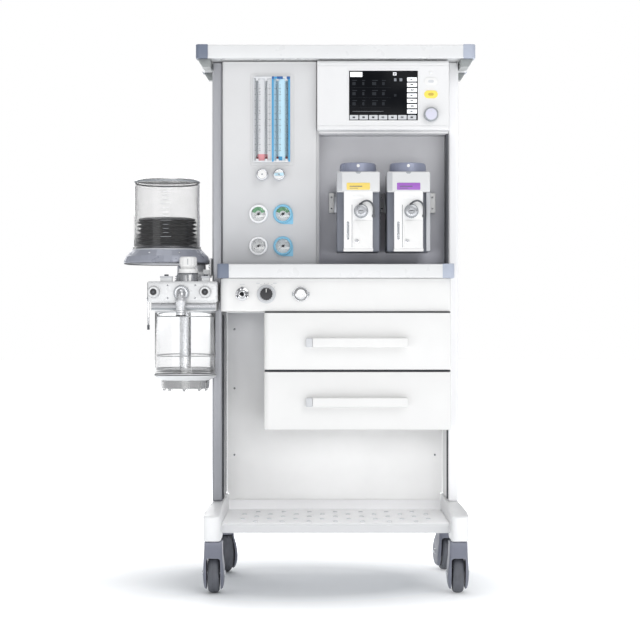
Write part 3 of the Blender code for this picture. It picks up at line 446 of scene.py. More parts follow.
def clear(name, colour, roughness=0.03, clearness=1.0, grain=220, relief=0.02):
    """Clear plastic, hazed a little where its clearness is under one."""
    look, tree, shader = new_material(name)
    shader.inputs["Base Color"].default_value = (*colour, 1)
    shader.inputs["Transmission Weight"].default_value = clearness
    shader.inputs["IOR"].default_value = 1.45
    smudge = noise(tree, 26, (1, 1, 0.35), 3.0, seed=5.3)
    tree.links.new(ranged(tree, smudge, roughness, roughness + 0.05), shader.inputs["Roughness"])
    bump = tree.nodes.new("ShaderNodeBump")
    bump.inputs["Strength"].default_value = relief
    bump.inputs["Distance"].default_value = 0.0003
    tree.links.new(noise(tree, grain, (1, 1, 0.2), 1.0), bump.inputs["Height"])
    tree.links.new(bump.outputs["Normal"], shader.inputs["Normal"])
    return look


def glowing(look, colour, strength):
    """The material with a light of its own."""
    shader = look.node_tree.nodes["Principled BSDF"]
    shader.inputs["Emission Color"].default_value = (*colour, 1)
    shader.inputs["Emission Strength"].default_value = strength
    return look


WHITE = finish("powder_coat_white", (0.72, 0.717, 0.71), 0.42, grain=900, relief=0.10, mottle=0.012)
SHELL = finish("moulded_white", (0.73, 0.727, 0.72), 0.38, grain=2200, relief=0.14, mottle=0.012)
RAIL_WHITE = finish("rail_white", (0.655, 0.66, 0.665), 0.33, grain=2400, relief=0.10, mottle=0.015)
FASCIA_WHITE = finish("fascia_white", (0.70, 0.70, 0.705), 0.42, grain=2600, relief=0.16, mottle=0.012)
PANEL = finish("panel_light_grey", (0.70, 0.70, 0.705), 0.45, grain=2600, relief=0.16, mottle=0.015)
# The left post is painted grey and darker towards the bottom: painted shade; COLUMN_WHITE is the posts' own
# colour.
COLUMN_SHADED = finish("column_grey_painted_shade", (0.40, 0.405, 0.43), 0.36, 0.55, stretch=(1, 1, 0.02), grain=1800,
                relief=0.10, mottle=0.03, patch=90, fade=("Z", 0.35, 0.80, (0.24, 0.245, 0.265)))
COLUMN_WHITE = finish("column_white", (0.84, 0.84, 0.85), 0.36, 0.05, stretch=(1, 1, 0.02), grain=1800,
                      relief=0.08, mottle=0.015, patch=90)
CASTING = finish("leg_casting", (0.84, 0.845, 0.85), 0.40, grain=620, relief=0.16, mottle=0.02)
# One blue-grey for every corner guard, painted darker on the left guards (painted shade) and paler on the right
# ones (painted light).
BLUE_GREY_SHADED = finish("corner_blue_grey_painted_shade", (0.142, 0.167, 0.225), 0.40, grain=1500, relief=0.22, mottle=0.05)
BLUE_GREY_LIT = finish("corner_blue_grey_painted_light", (0.375, 0.41, 0.49), 0.40, grain=1500, relief=0.22,
                        mottle=0.05)
# The tray brackets are a real part whose dark grey-green partly stands for the shade under the tray's corner
# guards: painted shade.
BRACKET = finish("bracket_grey_green_and_painted_shade", (0.25, 0.265, 0.265), 0.45, 0.2, grain=900, relief=0.14, mottle=0.04)
FORK = finish("fork_blue_grey", (0.165, 0.175, 0.222), 0.40, grain=1100, relief=0.24, mottle=0.06, wear=0.5,
              wear_colour=(0.34, 0.35, 0.40))
TYRE = finish("tyre_polyurethane", (0.115, 0.12, 0.138), 0.55, grain=700, relief=0.35, mottle=0.12, patch=40)
HUB = finish("hub_grey", (0.22, 0.23, 0.26), 0.42, grain=900, relief=0.2, mottle=0.05)
BLACK = finish("satin_black", (0.018, 0.018, 0.021), 0.38, grain=1800, relief=0.2, mottle=0.15)
DARK_GREY = finish("dark_grey_plastic", (0.07, 0.075, 0.085), 0.45, grain=1500, relief=0.2, mottle=0.10)
MID_GREY = finish("mid_grey_plastic", (0.30, 0.32, 0.34), 0.42, grain=1500, relief=0.2, mottle=0.05)
PALE_GREY = finish("pale_grey_plastic", (0.55, 0.56, 0.58), 0.42, grain=1500, relief=0.2, mottle=0.03)
STEEL = finish("steel_bright", (0.66, 0.67, 0.69), 0.24, 1.0, grain=1500, relief=0.05, mottle=0.04)
CHROME = finish("chrome", (0.52, 0.525, 0.54), 0.14, 1.0, grain=300, relief=0.02, mottle=0.02,
                roughness_swing=0.04)
RUBBER = finish("bellows_silicone", (0.035, 0.035, 0.040), 0.48, grain=900, relief=0.2, mottle=0.2, patch=60)
YELLOW = finish("key_yellow", (0.86, 0.66, 0.10), 0.42, grain=2200, relief=0.15, mottle=0.04)
SEAM = finish("seam_shadow", (0.045, 0.047, 0.055), 0.7, grain=900, relief=0.2, mottle=0.2)
FOOT_GREY = finish("foot_white_grey", (0.66, 0.67, 0.68), 0.4, grain=1500, relief=0.15, mottle=0.03)


# ---------------------------------------------------------------- camera, floor and light

LEFT_POST, RIGHT_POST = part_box("left_post"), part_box("right_post")
LEG_FRONT_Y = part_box("left_leg")[0].y
CENTRE_X = (LEFT_POST[0].x + RIGHT_POST[1].x) / 2
CASTER_Y = LEG_FRONT_Y + 0.034


AMBIENT = 0.40
GLOW_START, GLOW_END = 0.30, 0.95


def at(x, y, z):
    """A point of the trolley: x from midway between the posts, y from the front casters, z from the floor."""
    return Vector((CENTRE_X + x, CASTER_Y + y, z))


def add_camera():
    camera = bpy.data.objects.new("camera", bpy.data.cameras.new("camera"))
    camera.data.lens = 119.25
    camera.data.sensor_width = 36
    camera.location = at(-0.0397, -5.3, 0.685)
    camera.rotation_euler = (pi / 2, 0, 0)
    bpy.context.scene.collection.objects.link(camera)
    bpy.context.scene.camera = camera


def add_area(name, position, target, size, power, colour=(1, 1, 1)):
    lamp = bpy.data.lights.new(name, "AREA")
    lamp.shape = "RECTANGLE"
    lamp.size, lamp.size_y = size
    lamp.energy = power
    lamp.color = colour
    light = bpy.data.objects.new(name, lamp)
    light.location = position
    light.rotation_euler = (Vector(target) - Vector(position)).to_track_quat("-Z", "Y").to_euler()
    bpy.context.scene.collection.objects.link(light)
    return light


def add_floor():
    """A wide pale floor with a glow of its own that is nothing under the machine and full further away."""
    bm = bmesh.new()
    bmesh.ops.create_grid(bm, x_segments=8, y_segments=8, size=30)
    mesh = bpy.data.meshes.new("studio_floor")
    bm.to_mesh(mesh)
    bm.free()
    floor = bpy.data.objects.new("studio_floor", mesh)
    bpy.context.scene.collection.objects.link(floor)
    paint = finish("studio_floor", (0.78, 0.80, 0.82), 0.75, mottle=0.004, patch=2, grain=60, relief=0.01)
    tree = paint.node_tree
    away = tree.nodes.new("ShaderNodeVectorMath")
    away.operation = "LENGTH"
    tree.links.new(tree.nodes.new("ShaderNodeTexCoord").outputs["Object"], away.inputs[0])
    share = ranged(tree, away.outputs["Value"], 0, 1, GLOW_START, GLOW_END)
    glow = blended(tree, share, (0.0, 0.0, 0.0), (1.0, 1.0, 1.0))
    tree.links.new(glow, tree.nodes["Principled BSDF"].inputs["Emission Color"])
    tree.nodes["Principled BSDF"].inputs["Emission Strength"].default_value = 1.0
    mesh.materials.append(paint)


def add_world():
    world = bpy.data.worlds.new("studio")
    world.use_nodes = True
    tree = world.node_tree
    surround = tree.nodes["Background"]
    surround.inputs["Color"].default_value = (0.97, 0.98, 1.0, 1)
    surround.inputs["Strength"].default_value = AMBIENT
    seen = tree.nodes.new("ShaderNodeBackground")
    seen.inputs["Color"].default_value = (1, 1, 1, 1)
    path = tree.nodes.new("ShaderNodeLightPath")
    mix = tree.nodes.new("ShaderNodeMixShader")
    output = next(n for n in tree.nodes if n.type == "OUTPUT_WORLD")
    tree.links.new(path.outputs["Is Camera Ray"], mix.inputs[0])
    tree.links.new(surround.outputs["Background"], mix.inputs[1])
    tree.links.new(seen.outputs["Background"], mix.inputs[2])
    tree.links.new(mix.outputs["Shader"], output.inputs["Surface"])
    bpy.context.scene.world = world


def add_studio():
    bpy.context.scene.view_settings.view_transform = "Standard"
    add_camera()
    add_floor()
    add_world()
    middle = at(0, 0.1, 0.75)
    add_area("key", at(1.5, -3.1, 3.1), middle, (2.6, 2.2), 46)
    add_area("fill", at(-2.6, -3.2, 1.2), middle, (2.0, 2.4), 12)
    add_area("low_front", at(0.1, -3.0, 0.62), at(0, 0.3, 0.30), (2.4, 0.4), 11)
    add_area("top", at(0.2, 0.4, 3.6), middle, (2.6, 2.6), 36)
    add_area("back", at(-1.0, 3.6, 2.2), middle, (2.6, 2.2), 52)


add_studio()


# ---------------------------------------------------------------- painting the CAD nodes that stay


def paint(node, look):
    mesh = frame["nodes"][node].data
    mesh.materials.clear()
    mesh.materials.append(look)


def corners(node):
    """A node's low and high corners, each as (x, y, z) of the trolley."""
    low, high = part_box(node)
    shift = at(0, 0, 0)
    return low - shift, high - shift


def plan_outline(points):
    """Points in (x, y) of the trolley, brought to the row frame."""
    return [tuple(at(x, y, 0).xy) for x, y in points]


def back_middle(low, high):
    """The middle of the back face of a box."""
    return Vector(((low.x + high.x) / 2, high.y, (low.z + high.z) / 2))


def screw(x, y, z, axis=FRONT, radius=0.003):
    """A dished cross-head screw standing slightly proud of a face."""
    centre = at(x, y, z)
    head = lathe(soften([(0, 0.0010), (radius * 0.55, 0.0012), (radius, 0.0006), (radius, -0.0004),
                         (0, -0.0004)], 0.0003, 3, closed=False), centre, axis, 20)
    side = Vector(axis).orthogonal().normalized()
    cross = Vector(axis).cross(side)
    parts = [(head, STEEL)]
    for along, over in ((side, cross), (cross, side)):
        reach = 0.62 * radius * along + 0.12 * radius * over
        top = centre + Vector(axis) * 0.00135
        bottom = centre + Vector(axis) * 0.0008
        low = [min(a, b) for a, b in zip(top - reach, bottom - reach)]
        high = [max(a, b) for a, b in zip(top + reach, bottom + reach)]
        box = brick([min(a, b) for a, b in zip(low, high)], [max(a, b) for a, b in zip(low, high)], 0)
        parts.append((box, SEAM))
    return parts


def hex_bolt(centre, axis, radius, depth):
    """A domed hexagon head on a washer."""
    washer = disc(centre, radius * 1.35, depth * 0.25, axis, depth * 0.06, 28)
    profile = [(0, depth), (radius * 0.72, depth), (radius, depth * 0.72), (radius, 0), (0, 0)]
    return [(washer, STEEL), (lathe(profile, centre, axis, 6), STEEL)]


# ---------------------------------------------------------------- trolley


def section_xz(low, high, radius, y):
    """A rounded rectangle across the trolley at one depth."""
    return [at(x, y, z) for x, z in rectangle(low, high, radius, 4)]


def leg_casting(name, node, side):
    """The cast leg: a rounded nose over the front caster, a sloping back and an arch under the tray."""
    low, high = corners(node)
    outer, inner = max(abs(low.x), abs(high.x)), min(abs(low.x), abs(high.x))
    front, rear, top, bottom = low.y, high.y, high.z, low.z
    waist = abs(corners("left_post")[0].x) + 0.001
    nose = 0.018
    middle = (outer + inner) / 2
    stations = []
    for step in range(8):
        turn = step / 7 * pi / 2
        half = (outer - inner) / 2 - nose * (1 - sin(turn))
        y = front + nose * (1 - cos(turn))
        drop = 0.004 * (1 - sin(turn))
        stations.append((y, middle - half, middle + half, bottom + drop, 0.1965 + 0.1 * (y - front) - drop))
    stations += [
        (0.030, inner, outer, bottom, 0.2030),
        (0.075, inner, outer - 0.004, bottom, 0.2075),
        (0.105, inner, outer - 0.0066, bottom + 0.017, 0.2105),
        (0.165, inner, waist, bottom + 0.017, 0.2158),
        (0.178, inner, waist, bottom + 0.017, top),
        (0.395, inner, waist, bottom + 0.017, top),
        (0.425, inner, waist, bottom, top),
        (0.457, inner, waist, bottom, top - 0.001),
        (0.500, inner, outer, bottom, 0.2005),
        (rear - 0.014, inner, outer, bottom, 0.193),
        (rear - 0.004, inner + 0.003, outer - 0.003, bottom + 0.001, 0.189),
        (rear, inner + 0.012, outer - 0.012, bottom + 0.004, 0.182),
    ]
    rings = []
    for y, near, far, floor, roof in stations:
        x0, x1 = sorted((side * near, side * far))
        rings.append(section_xz((x0, floor), (x1, roof), min(0.0045, (x1 - x0) * 0.3), y))
    return piece(name, [(loft(rings), CASTING)], "trolley", (node,), angle=40)


def studs():
    """Rows of raised studs that keep things from sliding on the tray, three and two to a column by turns."""
    high = corners("base_tray")[1]
    deck = 0.174
    pitch_x, pitch_y = 0.034, 0.066
    rows = [0.074 + pitch_y * row for row in range(5)]
    count = int((high.x - 0.022) / pitch_x)
    profile = [(0.0070, -0.0004), (0.0068, 0.0006), (0.0052, 0.0022), (0.0030, 0.0030), (0, 0.0033)]
    bumps = []
    for column in range(-count, count + 1):
        for row, y in enumerate(rows):
            if row % 2 == column % 2:
                bumps.append((lathe([(0, -0.0004), *profile], at(column * pitch_x, y, deck), UP, 14),
                              PALE_GREY))
    piece("tray_studs", bumps, "trolley", angle=70)


def caster_place(corner):
    """The matrix from a caster's own frame, trailing along +Y, to the row frame, read from its joints."""
    joints = {joint["name"]: joint for joint in frame["joints"]}
    swivel = Vector(joints[f"caster_swivel_{corner}"]["pos_m"])
    axle = Vector(joints[f"caster_roll_{corner}"]["pos_m"])
    trail = axle - swivel
    turn = Matrix.Rotation(Vector((0, 1)).angle_signed(Vector((trail.x, trail.y))) * -1, 4, "Z")
    return Matrix.Translation((swivel.x, swivel.y, 0)) @ turn


def fork_hood():
    """The hood: a rounded cover that widens towards the axle, with an arch for the wheel."""
    trail, axle = 0.028, 0.050
    rings = []
    stations = [
        (0.1320, 0.0215, -0.0225, 0.0395),
        (0.1308, 0.0225, -0.0240, 0.0405),
        (0.1180, 0.0228, -0.0245, 0.0410),
        (0.0950, 0.0234, -0.0243, 0.0445),
        (0.0780, 0.0243, -0.0235, 0.0660),
        (0.0620, 0.0254, -0.0212, 0.0725),
        (0.0480, 0.0262, -0.0172, 0.0740),
        (0.0350, 0.0258, -0.0118, 0.0720),
        (0.0230, 0.0246, -0.0060, 0.0655),
        (0.0150, 0.0230, 0.0000, 0.0570),
        (0.0120, 0.0215, 0.0060, 0.0500),
    ]
    for z, half, front, back in stations:
        outline = rectangle((-half, front), (half, back), 0.011, 6)
        rings.append([(x, y, z) for x, y in outline])
    hood = loft(rings)
    arch = prism(rectangle((-0.0178, -0.05), (0.0178, 0.091), 0.009, 6), -0.06, 0.12, 0, "y")
    well = lathe([(0, -0.0178), (0.054, -0.0178), (0.054, 0.0178), (0, 0.0178)], (0, trail, axle), RIGHT, 48)
    return carve(hood, arch, well)


def caster_wheel():
    """A polyurethane tyre on a grey hub with a stepped web."""
    half = 0.015
    tyre = [
        (0.0345, half - 0.0035), (0.0400, half - 0.0010), (0.0440, half - 0.0014), (0.0474, half - 0.0040),
        (0.0492, half - 0.0078), (0.0500, half - 0.0122), (0.0500, 0.0004), (0.0497, 0.0),
    ]
    tyre += [(radius, -height) for radius, height in reversed(tyre[:-1])]
    web = [(0.0063, half), (0.0115, half), (0.0122, half - 0.001), (0.0125, half - 0.0045),
           (0.030, half - 0.0060), (0.0325, half - 0.0035), (0.0347, half - 0.0032),]
    web += [(radius, -height) for radius, height in reversed(web)]
    return [
        (lathe(tyre, (0, 0.028, 0.050), RIGHT, 72, ring=True), TYRE),
        (lathe(web, (0, 0.028, 0.050), RIGHT, 48, ring=True), HUB),
    ]


def fork_fittings():
    """Axle bolt, nut, bearing ring under the leg and the stem."""
    parts = []
    for side in (-1, 1):
        parts += hex_bolt((side * 0.0255, 0.028, 0.050), RIGHT * side, 0.0058, 0.0042)
    parts.append((lathe([(0.0055, 0.1316), (0.0175, 0.1316), (0.0185, 0.1321), (0.0185, 0.1327),
                         (0.0055, 0.1327)], (0, 0, 0), UP, 40, ring=True), STEEL))
    parts.append((lathe([(0, 0.125), (0.0060, 0.125), (0.0060, 0.148), (0, 0.148)], (0, 0, 0), UP, 20),
                  STEEL))
    parts.append((lathe([(0, -0.022), (0.0058, -0.022), (0.0058, 0.022), (0, 0.022)], (0, 0.028, 0.050),
                        RIGHT, 24), STEEL))
    return parts


def pedal():
    """A foot pedal with a ribbed pad."""
    outline = [(-0.006, -0.006), (0.012, -0.006), (0.034, -0.018), (0.036, -0.013), (0.014, 0.003),
               (0.004, 0.006), (-0.006, 0.006)]
    outline = soften([(0.0345 + y, 0.1225 + z) for y, z in outline], 0.0025, 4)
    parts = [(prism(outline, -0.014, 0.014, 0.0015, "x"), DARK_GREY)]
    slope = Vector((0, 0.020, -0.016)).normalized()
    for rib in range(4):
        middle = Vector((0, 0.0500, 0.1225)) + slope * (0.0055 * rib)
        ridge = pipe([middle + Vector((-0.010, 0, 0)), middle + Vector((0.010, 0, 0))], 0.0009, 8)
        parts.append((ridge, MID_GREY))
    return parts


def casters():
    for corner in ("front_left", "front_right", "rear_left", "rear_right"):
        place = caster_place(corner)
        fork, wheel = f"caster_fork_{corner}", f"caster_wheel_{corner}"
        has_pedal = corner.startswith("front")
        hood = fork_hood()
        if has_pedal:
            hood = carve(hood, brick((-0.0150, 0.0265, 0.095), (0.0150, 0.075, 0.140), 0))
        parts = [(hood, FORK), *fork_fittings()]
        piece(f"caster_hood_{corner}", [(moved(s, place), look) for s, look in parts], fork,
              (fork,))
        piece(f"caster_tyre_{corner}", [(moved(s, place), look) for s, look in caster_wheel()], wheel,
              (wheel,), angle=50)
        if has_pedal:
            brake = f"brake_pedal_{corner}"
            piece(f"brake_pad_{corner}", [(moved(s, place), look) for s, look in pedal()], brake,
                  (brake,))


def brick_between(a, b, radius):
    """A box between two points of the trolley, whichever way round they lie."""
    low = [min(p, q) for p, q in zip(a, b)]
    high = [max(p, q) for p, q in zip(a, b)]
    return brick(at(*low), at(*high), radius, 2)


def post_trim():
    """On each post's outer side, two cover strips, each with screws near its ends and in its middle."""
    # The left post's strips take its painted shade.
    for name, node, side, look in (("left", "left_post", -1, COLUMN_SHADED),
                                   ("right", "right_post", 1, COLUMN_WHITE)):
        low, high = corners(node)
        face = side * max(abs(low.x), abs(high.x))
        middle = (low.y + high.y) / 2
        parts = []
        for y in (middle - 0.070, middle + 0.070):
            strip = brick_between((face - side * 0.001, y - 0.024, low.z + 0.05),
                                  (face + side * 0.0012, y + 0.024, high.z - 0.05), 0.0006)
            parts.append((strip, look))
            for z in (low.z + 0.075, (low.z + high.z) / 2, high.z - 0.075):
                parts += screw(face + side * 0.0012, y, z, RIGHT * side, 0.004)
        piece(f"post_strips_{name}", parts, "trolley")


def trolley():
    leg_casting("leg_cover_left", "left_leg", -1)
    leg_casting("leg_cover_right", "right_leg", 1)
    studs()
    casters()
    post_trim()
    # The left post gets the painted shade, the right one its own white.
    paint("left_post", COLUMN_SHADED)
    paint("right_post", COLUMN_WHITE)
    front = at(0, 0.025, 0).y
    paint("base_tray", finish("tray_white", (0.90, 0.90, 0.91), 0.40, grain=900, relief=0.10, mottle=0.012,
                              fade=("Y", front, front + 0.006, (0.52, 0.525, 0.535))))
    paint("lower_back_panel", finish("back_panel_grey", (0.93, 0.93, 0.925), 0.42, 0.0, grain=900,
                                     relief=0.10, mottle=0.015, fade=("Z", 0.72, 0.44, (0.93, 0.94, 0.97))))


trolley()


# ---------------------------------------------------------------- drawers, worktop and controls


def drawer_shell(level):
    """A drawer front with a wide round on its left edge, on an open tub with rolled rims and side runners."""
    node = f"drawer_{level}"
    low, high = corners(node)
    front = low.y
    left_round, right_round = 0.015, 0.004
    outline = [
        *arc((low.x + left_round, front + left_round), left_round, 180, 270, 10),
        *arc((high.x - right_round, front + right_round), right_round, 270, 360, 5),
        (high.x, front + 0.018),
        (low.x, front + 0.018),
    ]
    cover = prism(plan_outline(outline), low.z, high.z, 0.0016, "z")
    tub_low = Vector((-0.166, front + 0.0175, low.z + 0.010))
    tub_high = Vector((0.275, high.y, high.z - 0.018))
    tub = brick(at(*tub_low), at(*tub_high), 0.0008, 2)
    room = brick(at(tub_low.x + 0.0015, tub_low.y - 0.001, tub_low.z + 0.0015),
                 at(tub_high.x - 0.0015, tub_high.y - 0.0015, tub_high.z + 0.02), 0)
    parts = [(cover, SHELL), (carve(tub, room), WHITE)]
    for x in (tub_low.x + 0.0008, tub_high.x - 0.0008):
        rim = pipe([at(x, tub_low.y, tub_high.z), at(x, tub_high.y - 0.001, tub_high.z)], 0.0016, 10)
        parts.append((rim, WHITE))
    parts.append((pipe([at(tub_low.x, tub_high.y - 0.001, tub_high.z),
                        at(tub_high.x, tub_high.y - 0.001, tub_high.z)], 0.0016, 10), WHITE))
    for side, x in ((-1, tub_low.x), (1, tub_high.x)):
        runner = brick_between((x, tub_low.y + 0.01, tub_low.z + 0.03),
                               (x + side * 0.007, high.y, tub_low.z + 0.045), 0.001)
        parts.append((runner, STEEL))
    piece(f"drawer_shell_{level}", parts, node, (node,))


def drawer_pull(level):
    """A bar handle: a slim crowned bar between two square end blocks."""
    node = f"drawer_{level}_handle"
    low, high = corners(node)
    depth = 0.0085
    parts = []
    section = soften([(low.y, low.z), (low.y, high.z), (low.y + depth, high.z), (low.y + depth, low.z)],
                     0.0032, 5)
    shift = at(0, 0, 0)
    bar_outline = [(shift.y + y, shift.z + z) for y, z in section]
    parts.append((prism(bar_outline, shift.x + low.x + 0.017, shift.x + high.x, 0.002, "x"), SHELL))
    for x0, x1 in ((low.x, low.x + 0.0165), (high.x - 0.0165, high.x - 0.0005)):
        block = brick(at(x0, low.y + 0.0005, low.z + 0.0008), at(x1, high.y + 0.0002, high.z - 0.0008),
                      0.0022, 3)
        # The left end block is pale grey and the right one white: painted shade on the left end.
        parts.append((block, PALE_GREY if x0 == low.x else SHELL))
    piece(f"drawer_pull_{level}", parts, f"drawer_{level}", (node,))


def drawer_seams():
    """Dark strips of painted shade in the gaps over and between the drawers and beside the posts, and the fixed
    halves of the runners.
    """
    upper, lower = corners("drawer_upper"), corners("drawer_lower")
    parts = []
    # Painted shade: dark strips in the gaps over and between the drawers.
    for z0, z1 in ((lower[1].z + 0.0008, upper[0].z - 0.0008), (upper[1].z + 0.0006, upper[1].z + 0.0032)):
        parts.append((brick(at(upper[0].x + 0.002, upper[0].y + 0.006, z0),
                            at(upper[1].x - 0.001, upper[0].y + 0.0195, z1), 0.0003, 2), SEAM))
    for z in (upper[0].z, lower[0].z):
        for x0, x1 in ((-0.1775, -0.1735), (0.2825, 0.2865)):
            parts.append((brick(at(x0, 0.062, z + 0.036), at(x1, 0.430, z + 0.058), 0.001, 2), STEEL))
    # Painted shade: dark strips along the inner sides of the posts.
    left_inner, right_inner = corners("left_post")[1].x, corners("right_post")[0].x
    y0 = corners("left_post")[0].y + 0.004
    for x0, top in ((left_inner + 0.0004, 0.698), (right_inner - 0.0034, lower[0].z - 0.004)):
        parts.append((brick(at(x0, y0, 0.222), at(x0 + 0.0030, y0 + 0.020, top), 0.0006, 2), SEAM))
    piece("drawer_gap_shade_and_runners", parts, "trolley")
    paint("drawer_cabinet", WHITE)


def control_case():
    """The case under the worktop, whose left end is a wide round; the button's bore goes in at its front."""
    low, high = corners("control_panel")
    wide, narrow = 0.020, 0.006
    outline = [
        *arc((low.x + wide, low.y + wide), wide, 180, 270, 12),
        *arc((high.x - narrow, low.y + narrow), narrow, 270, 360, 5),
        (high.x, high.y),
        (low.x, high.y),
    ]
    case = prism(plan_outline(outline), low.z, high.z - 0.0002, 0.0022, "z")
    flush = (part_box("flush_button")[0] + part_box("flush_button")[1]) / 2
    bore = disc((flush.x, at(0, low.y - 0.002, 0).y, flush.z), 0.0062, 0.018, BACK, 0, 24)
    piece("control_case", [(carve(case, bore), WHITE)], "trolley", ("control_panel",))


def control_details():
    """A chrome ring with lugs round the push button, and plain tick marks and dots round the selector."""
    face = corners("control_panel")[0].y
    parts = []
    selector = (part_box("selector_knob")[0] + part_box("selector_knob")[1]) / 2 - at(0, 0, 0)
    flush = (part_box("flush_button")[0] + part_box("flush_button")[1]) / 2 - at(0, 0, 0)
    ring = [(0.0162, 0.0), (0.0190, 0.0), (0.0190, 0.0045), (0.0182, 0.0060), (0.0172, 0.0060),
            (0.0162, 0.0045)]
    parts.append((lathe(ring, at(flush.x, face, flush.z), FRONT, 48, ring=True), CHROME))
    for side in (-1, 1):
        lug = brick(at(flush.x + side * 0.0192 - 0.0022, face - 0.0050, flush.z - 0.0045),
                    at(flush.x + side * 0.0192 + 0.0022, face, flush.z + 0.0045), 0.001, 3)
        parts.append((lug, MID_GREY))
    for angle, length in ((128, 0.009), (52, 0.009)):
        direction = Vector((cos(radians(angle)), 0, sin(radians(angle))))
        middle = at(selector.x, face - 0.0002, selector.z) + direction * 0.0345
        mark = brick(middle - Vector((length / 2, 0.0002, 0.0010)),
                     middle + Vector((length / 2, 0.0002, 0.0010)), 0)
        parts.append((mark, PALE_GREY))
    for angle in range(40, 141, 20):
        direction = Vector((cos(radians(angle)), 0, sin(radians(angle))))
        dot = disc(at(selector.x, face, selector.z) + direction * 0.0275, 0.0008, 0.0003, FRONT, 0, 10)
        parts.append((dot, MID_GREY))
    piece("control_marks", parts, "trolley")


def outlet():
    """A quick coupling: a flange with three locking lugs round a bored chrome nozzle."""
    low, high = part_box("gas_outlet")
    centre = back_middle(low, high)
    nozzle = [(0.0055, 0.001), (0.0055, 0.0235), (0.0068, 0.0240), (0.0084, 0.0236), (0.0092, 0.0225),
              (0.0092, 0.0165), (0.0078, 0.0150), (0.0078, 0.0125), (0.0105, 0.0115), (0.0118, 0.0100),
              (0.0118, 0.0045), (0.0150, 0.0035), (0.0165, 0.0028), (0.0168, 0.0), (0.0055, 0.0)]
    parts = [(lathe(nozzle, centre, FRONT, 56, ring=True), CHROME)]
    parts.append((disc(centre + FRONT * 0.0002, 0.0054, 0.006, FRONT, 0.0002, 28), SEAM))
    for angle in (90, 210, 330):
        direction = Vector((cos(radians(angle)), 0, sin(radians(angle))))
        lug = disc(centre + direction * 0.0130, 0.0052, 0.0125, FRONT, 0.0012, 24)
        parts.append((lug, CHROME))
        parts.append((disc(centre + direction * 0.0130 + FRONT * 0.0120, 0.0026, 0.0012, FRONT, 0.0003, 16),
                      DARK_GREY))
    parts.append((brick((centre.x - 0.006, centre.y - 0.0003, centre.z + 0.0235),
                        (centre.x + 0.006, centre.y + 0.0002, centre.z + 0.0252), 0), PALE_GREY))
    piece("outlet_coupling", parts, "trolley", ("gas_outlet",))


def selector():
    """A black bar grip on a fluted grey skirt; a white line points up at rest."""
    low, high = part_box("selector_knob")
    centre = back_middle(low, high)
    radius = (high.x - low.x) / 2
    skirt = soften([(0, 0), (radius, 0), (radius, 0.0030), (radius - 0.004, 0.0065), (0, 0.0065)], 0.001, 3,
                   False)
    grip = soften([(0, 0.003), (0.0162, 0.003), (0.0160, 0.0165), (0.0140, 0.0200), (0, 0.0200)], 0.0012, 4,
                  False)
    parts = [(lathe(skirt, centre, FRONT, 72), PALE_GREY), (lathe(grip, centre, FRONT, 96, flutes=16,
                                                                  flute_depth=0.0010, flute_span=(0.004,
                                                                                                  0.0172)),
                                                            BLACK), (brick(centre + Vector((-0.0008, -0.0204,
                                                                                            0.004)),
                                                                           centre + Vector((0.0008, -0.0198,
                                                                                            0.0135)), 0.0002,
                                                                           2), SHELL),
             (disc(centre + FRONT * 0.0198, 0.0105, 0.0004, FRONT, 0.0002, 40), BLACK),]
    piece("selector_grip", parts, "selector_knob", ("selector_knob",))


def flush():
    """A dished white-centred push button with a chrome edge on its stem."""
    low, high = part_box("flush_button")
    centre = Vector(((low.x + high.x) / 2, high.y - 0.004, (low.z + high.z) / 2))
    edge = [(0.0050, -0.0038), (0.0050, 0.0058), (0.0142, 0.0058), (0.0146, 0.0066), (0.0146, 0.0112),
            (0.0136, 0.0128), (0.0122, 0.0130), (0.0118, 0.0120), (0, 0.0118), (0, -0.0038)]
    pad = [(0, 0.0110), (0.0117, 0.0110), (0.0117, 0.0126), (0.0100, 0.0124), (0.0050, 0.0116), (0, 0.0114)]
    parts = [(lathe(edge, centre, FRONT, 56), CHROME), (lathe(pad, centre, FRONT, 48), SHELL)]
    for x in (-0.004, 0.0035):
        parts.append((disc(centre + Vector((x, -0.0114, -0.0005)), 0.0016, 0.0006, FRONT, 0.0002, 14),
                      MID_GREY))
    piece("flush_pad", parts, "flush_button", ("flush_button",))


def corner_guard(x0, x1, y0, y1, z0, z1, side, end, rail, radius):
    """An L-shaped guard wrapped round one corner of a shelf; side and end say which corner."""
    outer = arc((x1 - radius, y0 + radius), radius, -90, 0, 8)
    outline = [(x0, y0), *outer, (x1, y1), (x1 - rail, y1), (x1 - rail, y0 + rail), (x0, y0 + rail)]
    flipped = [(side * x, y if end < 0 else y0 + y1 - y) for x, y in outline]
    return prism(plan_outline(flipped), z0, z1, 0.0020, "z")


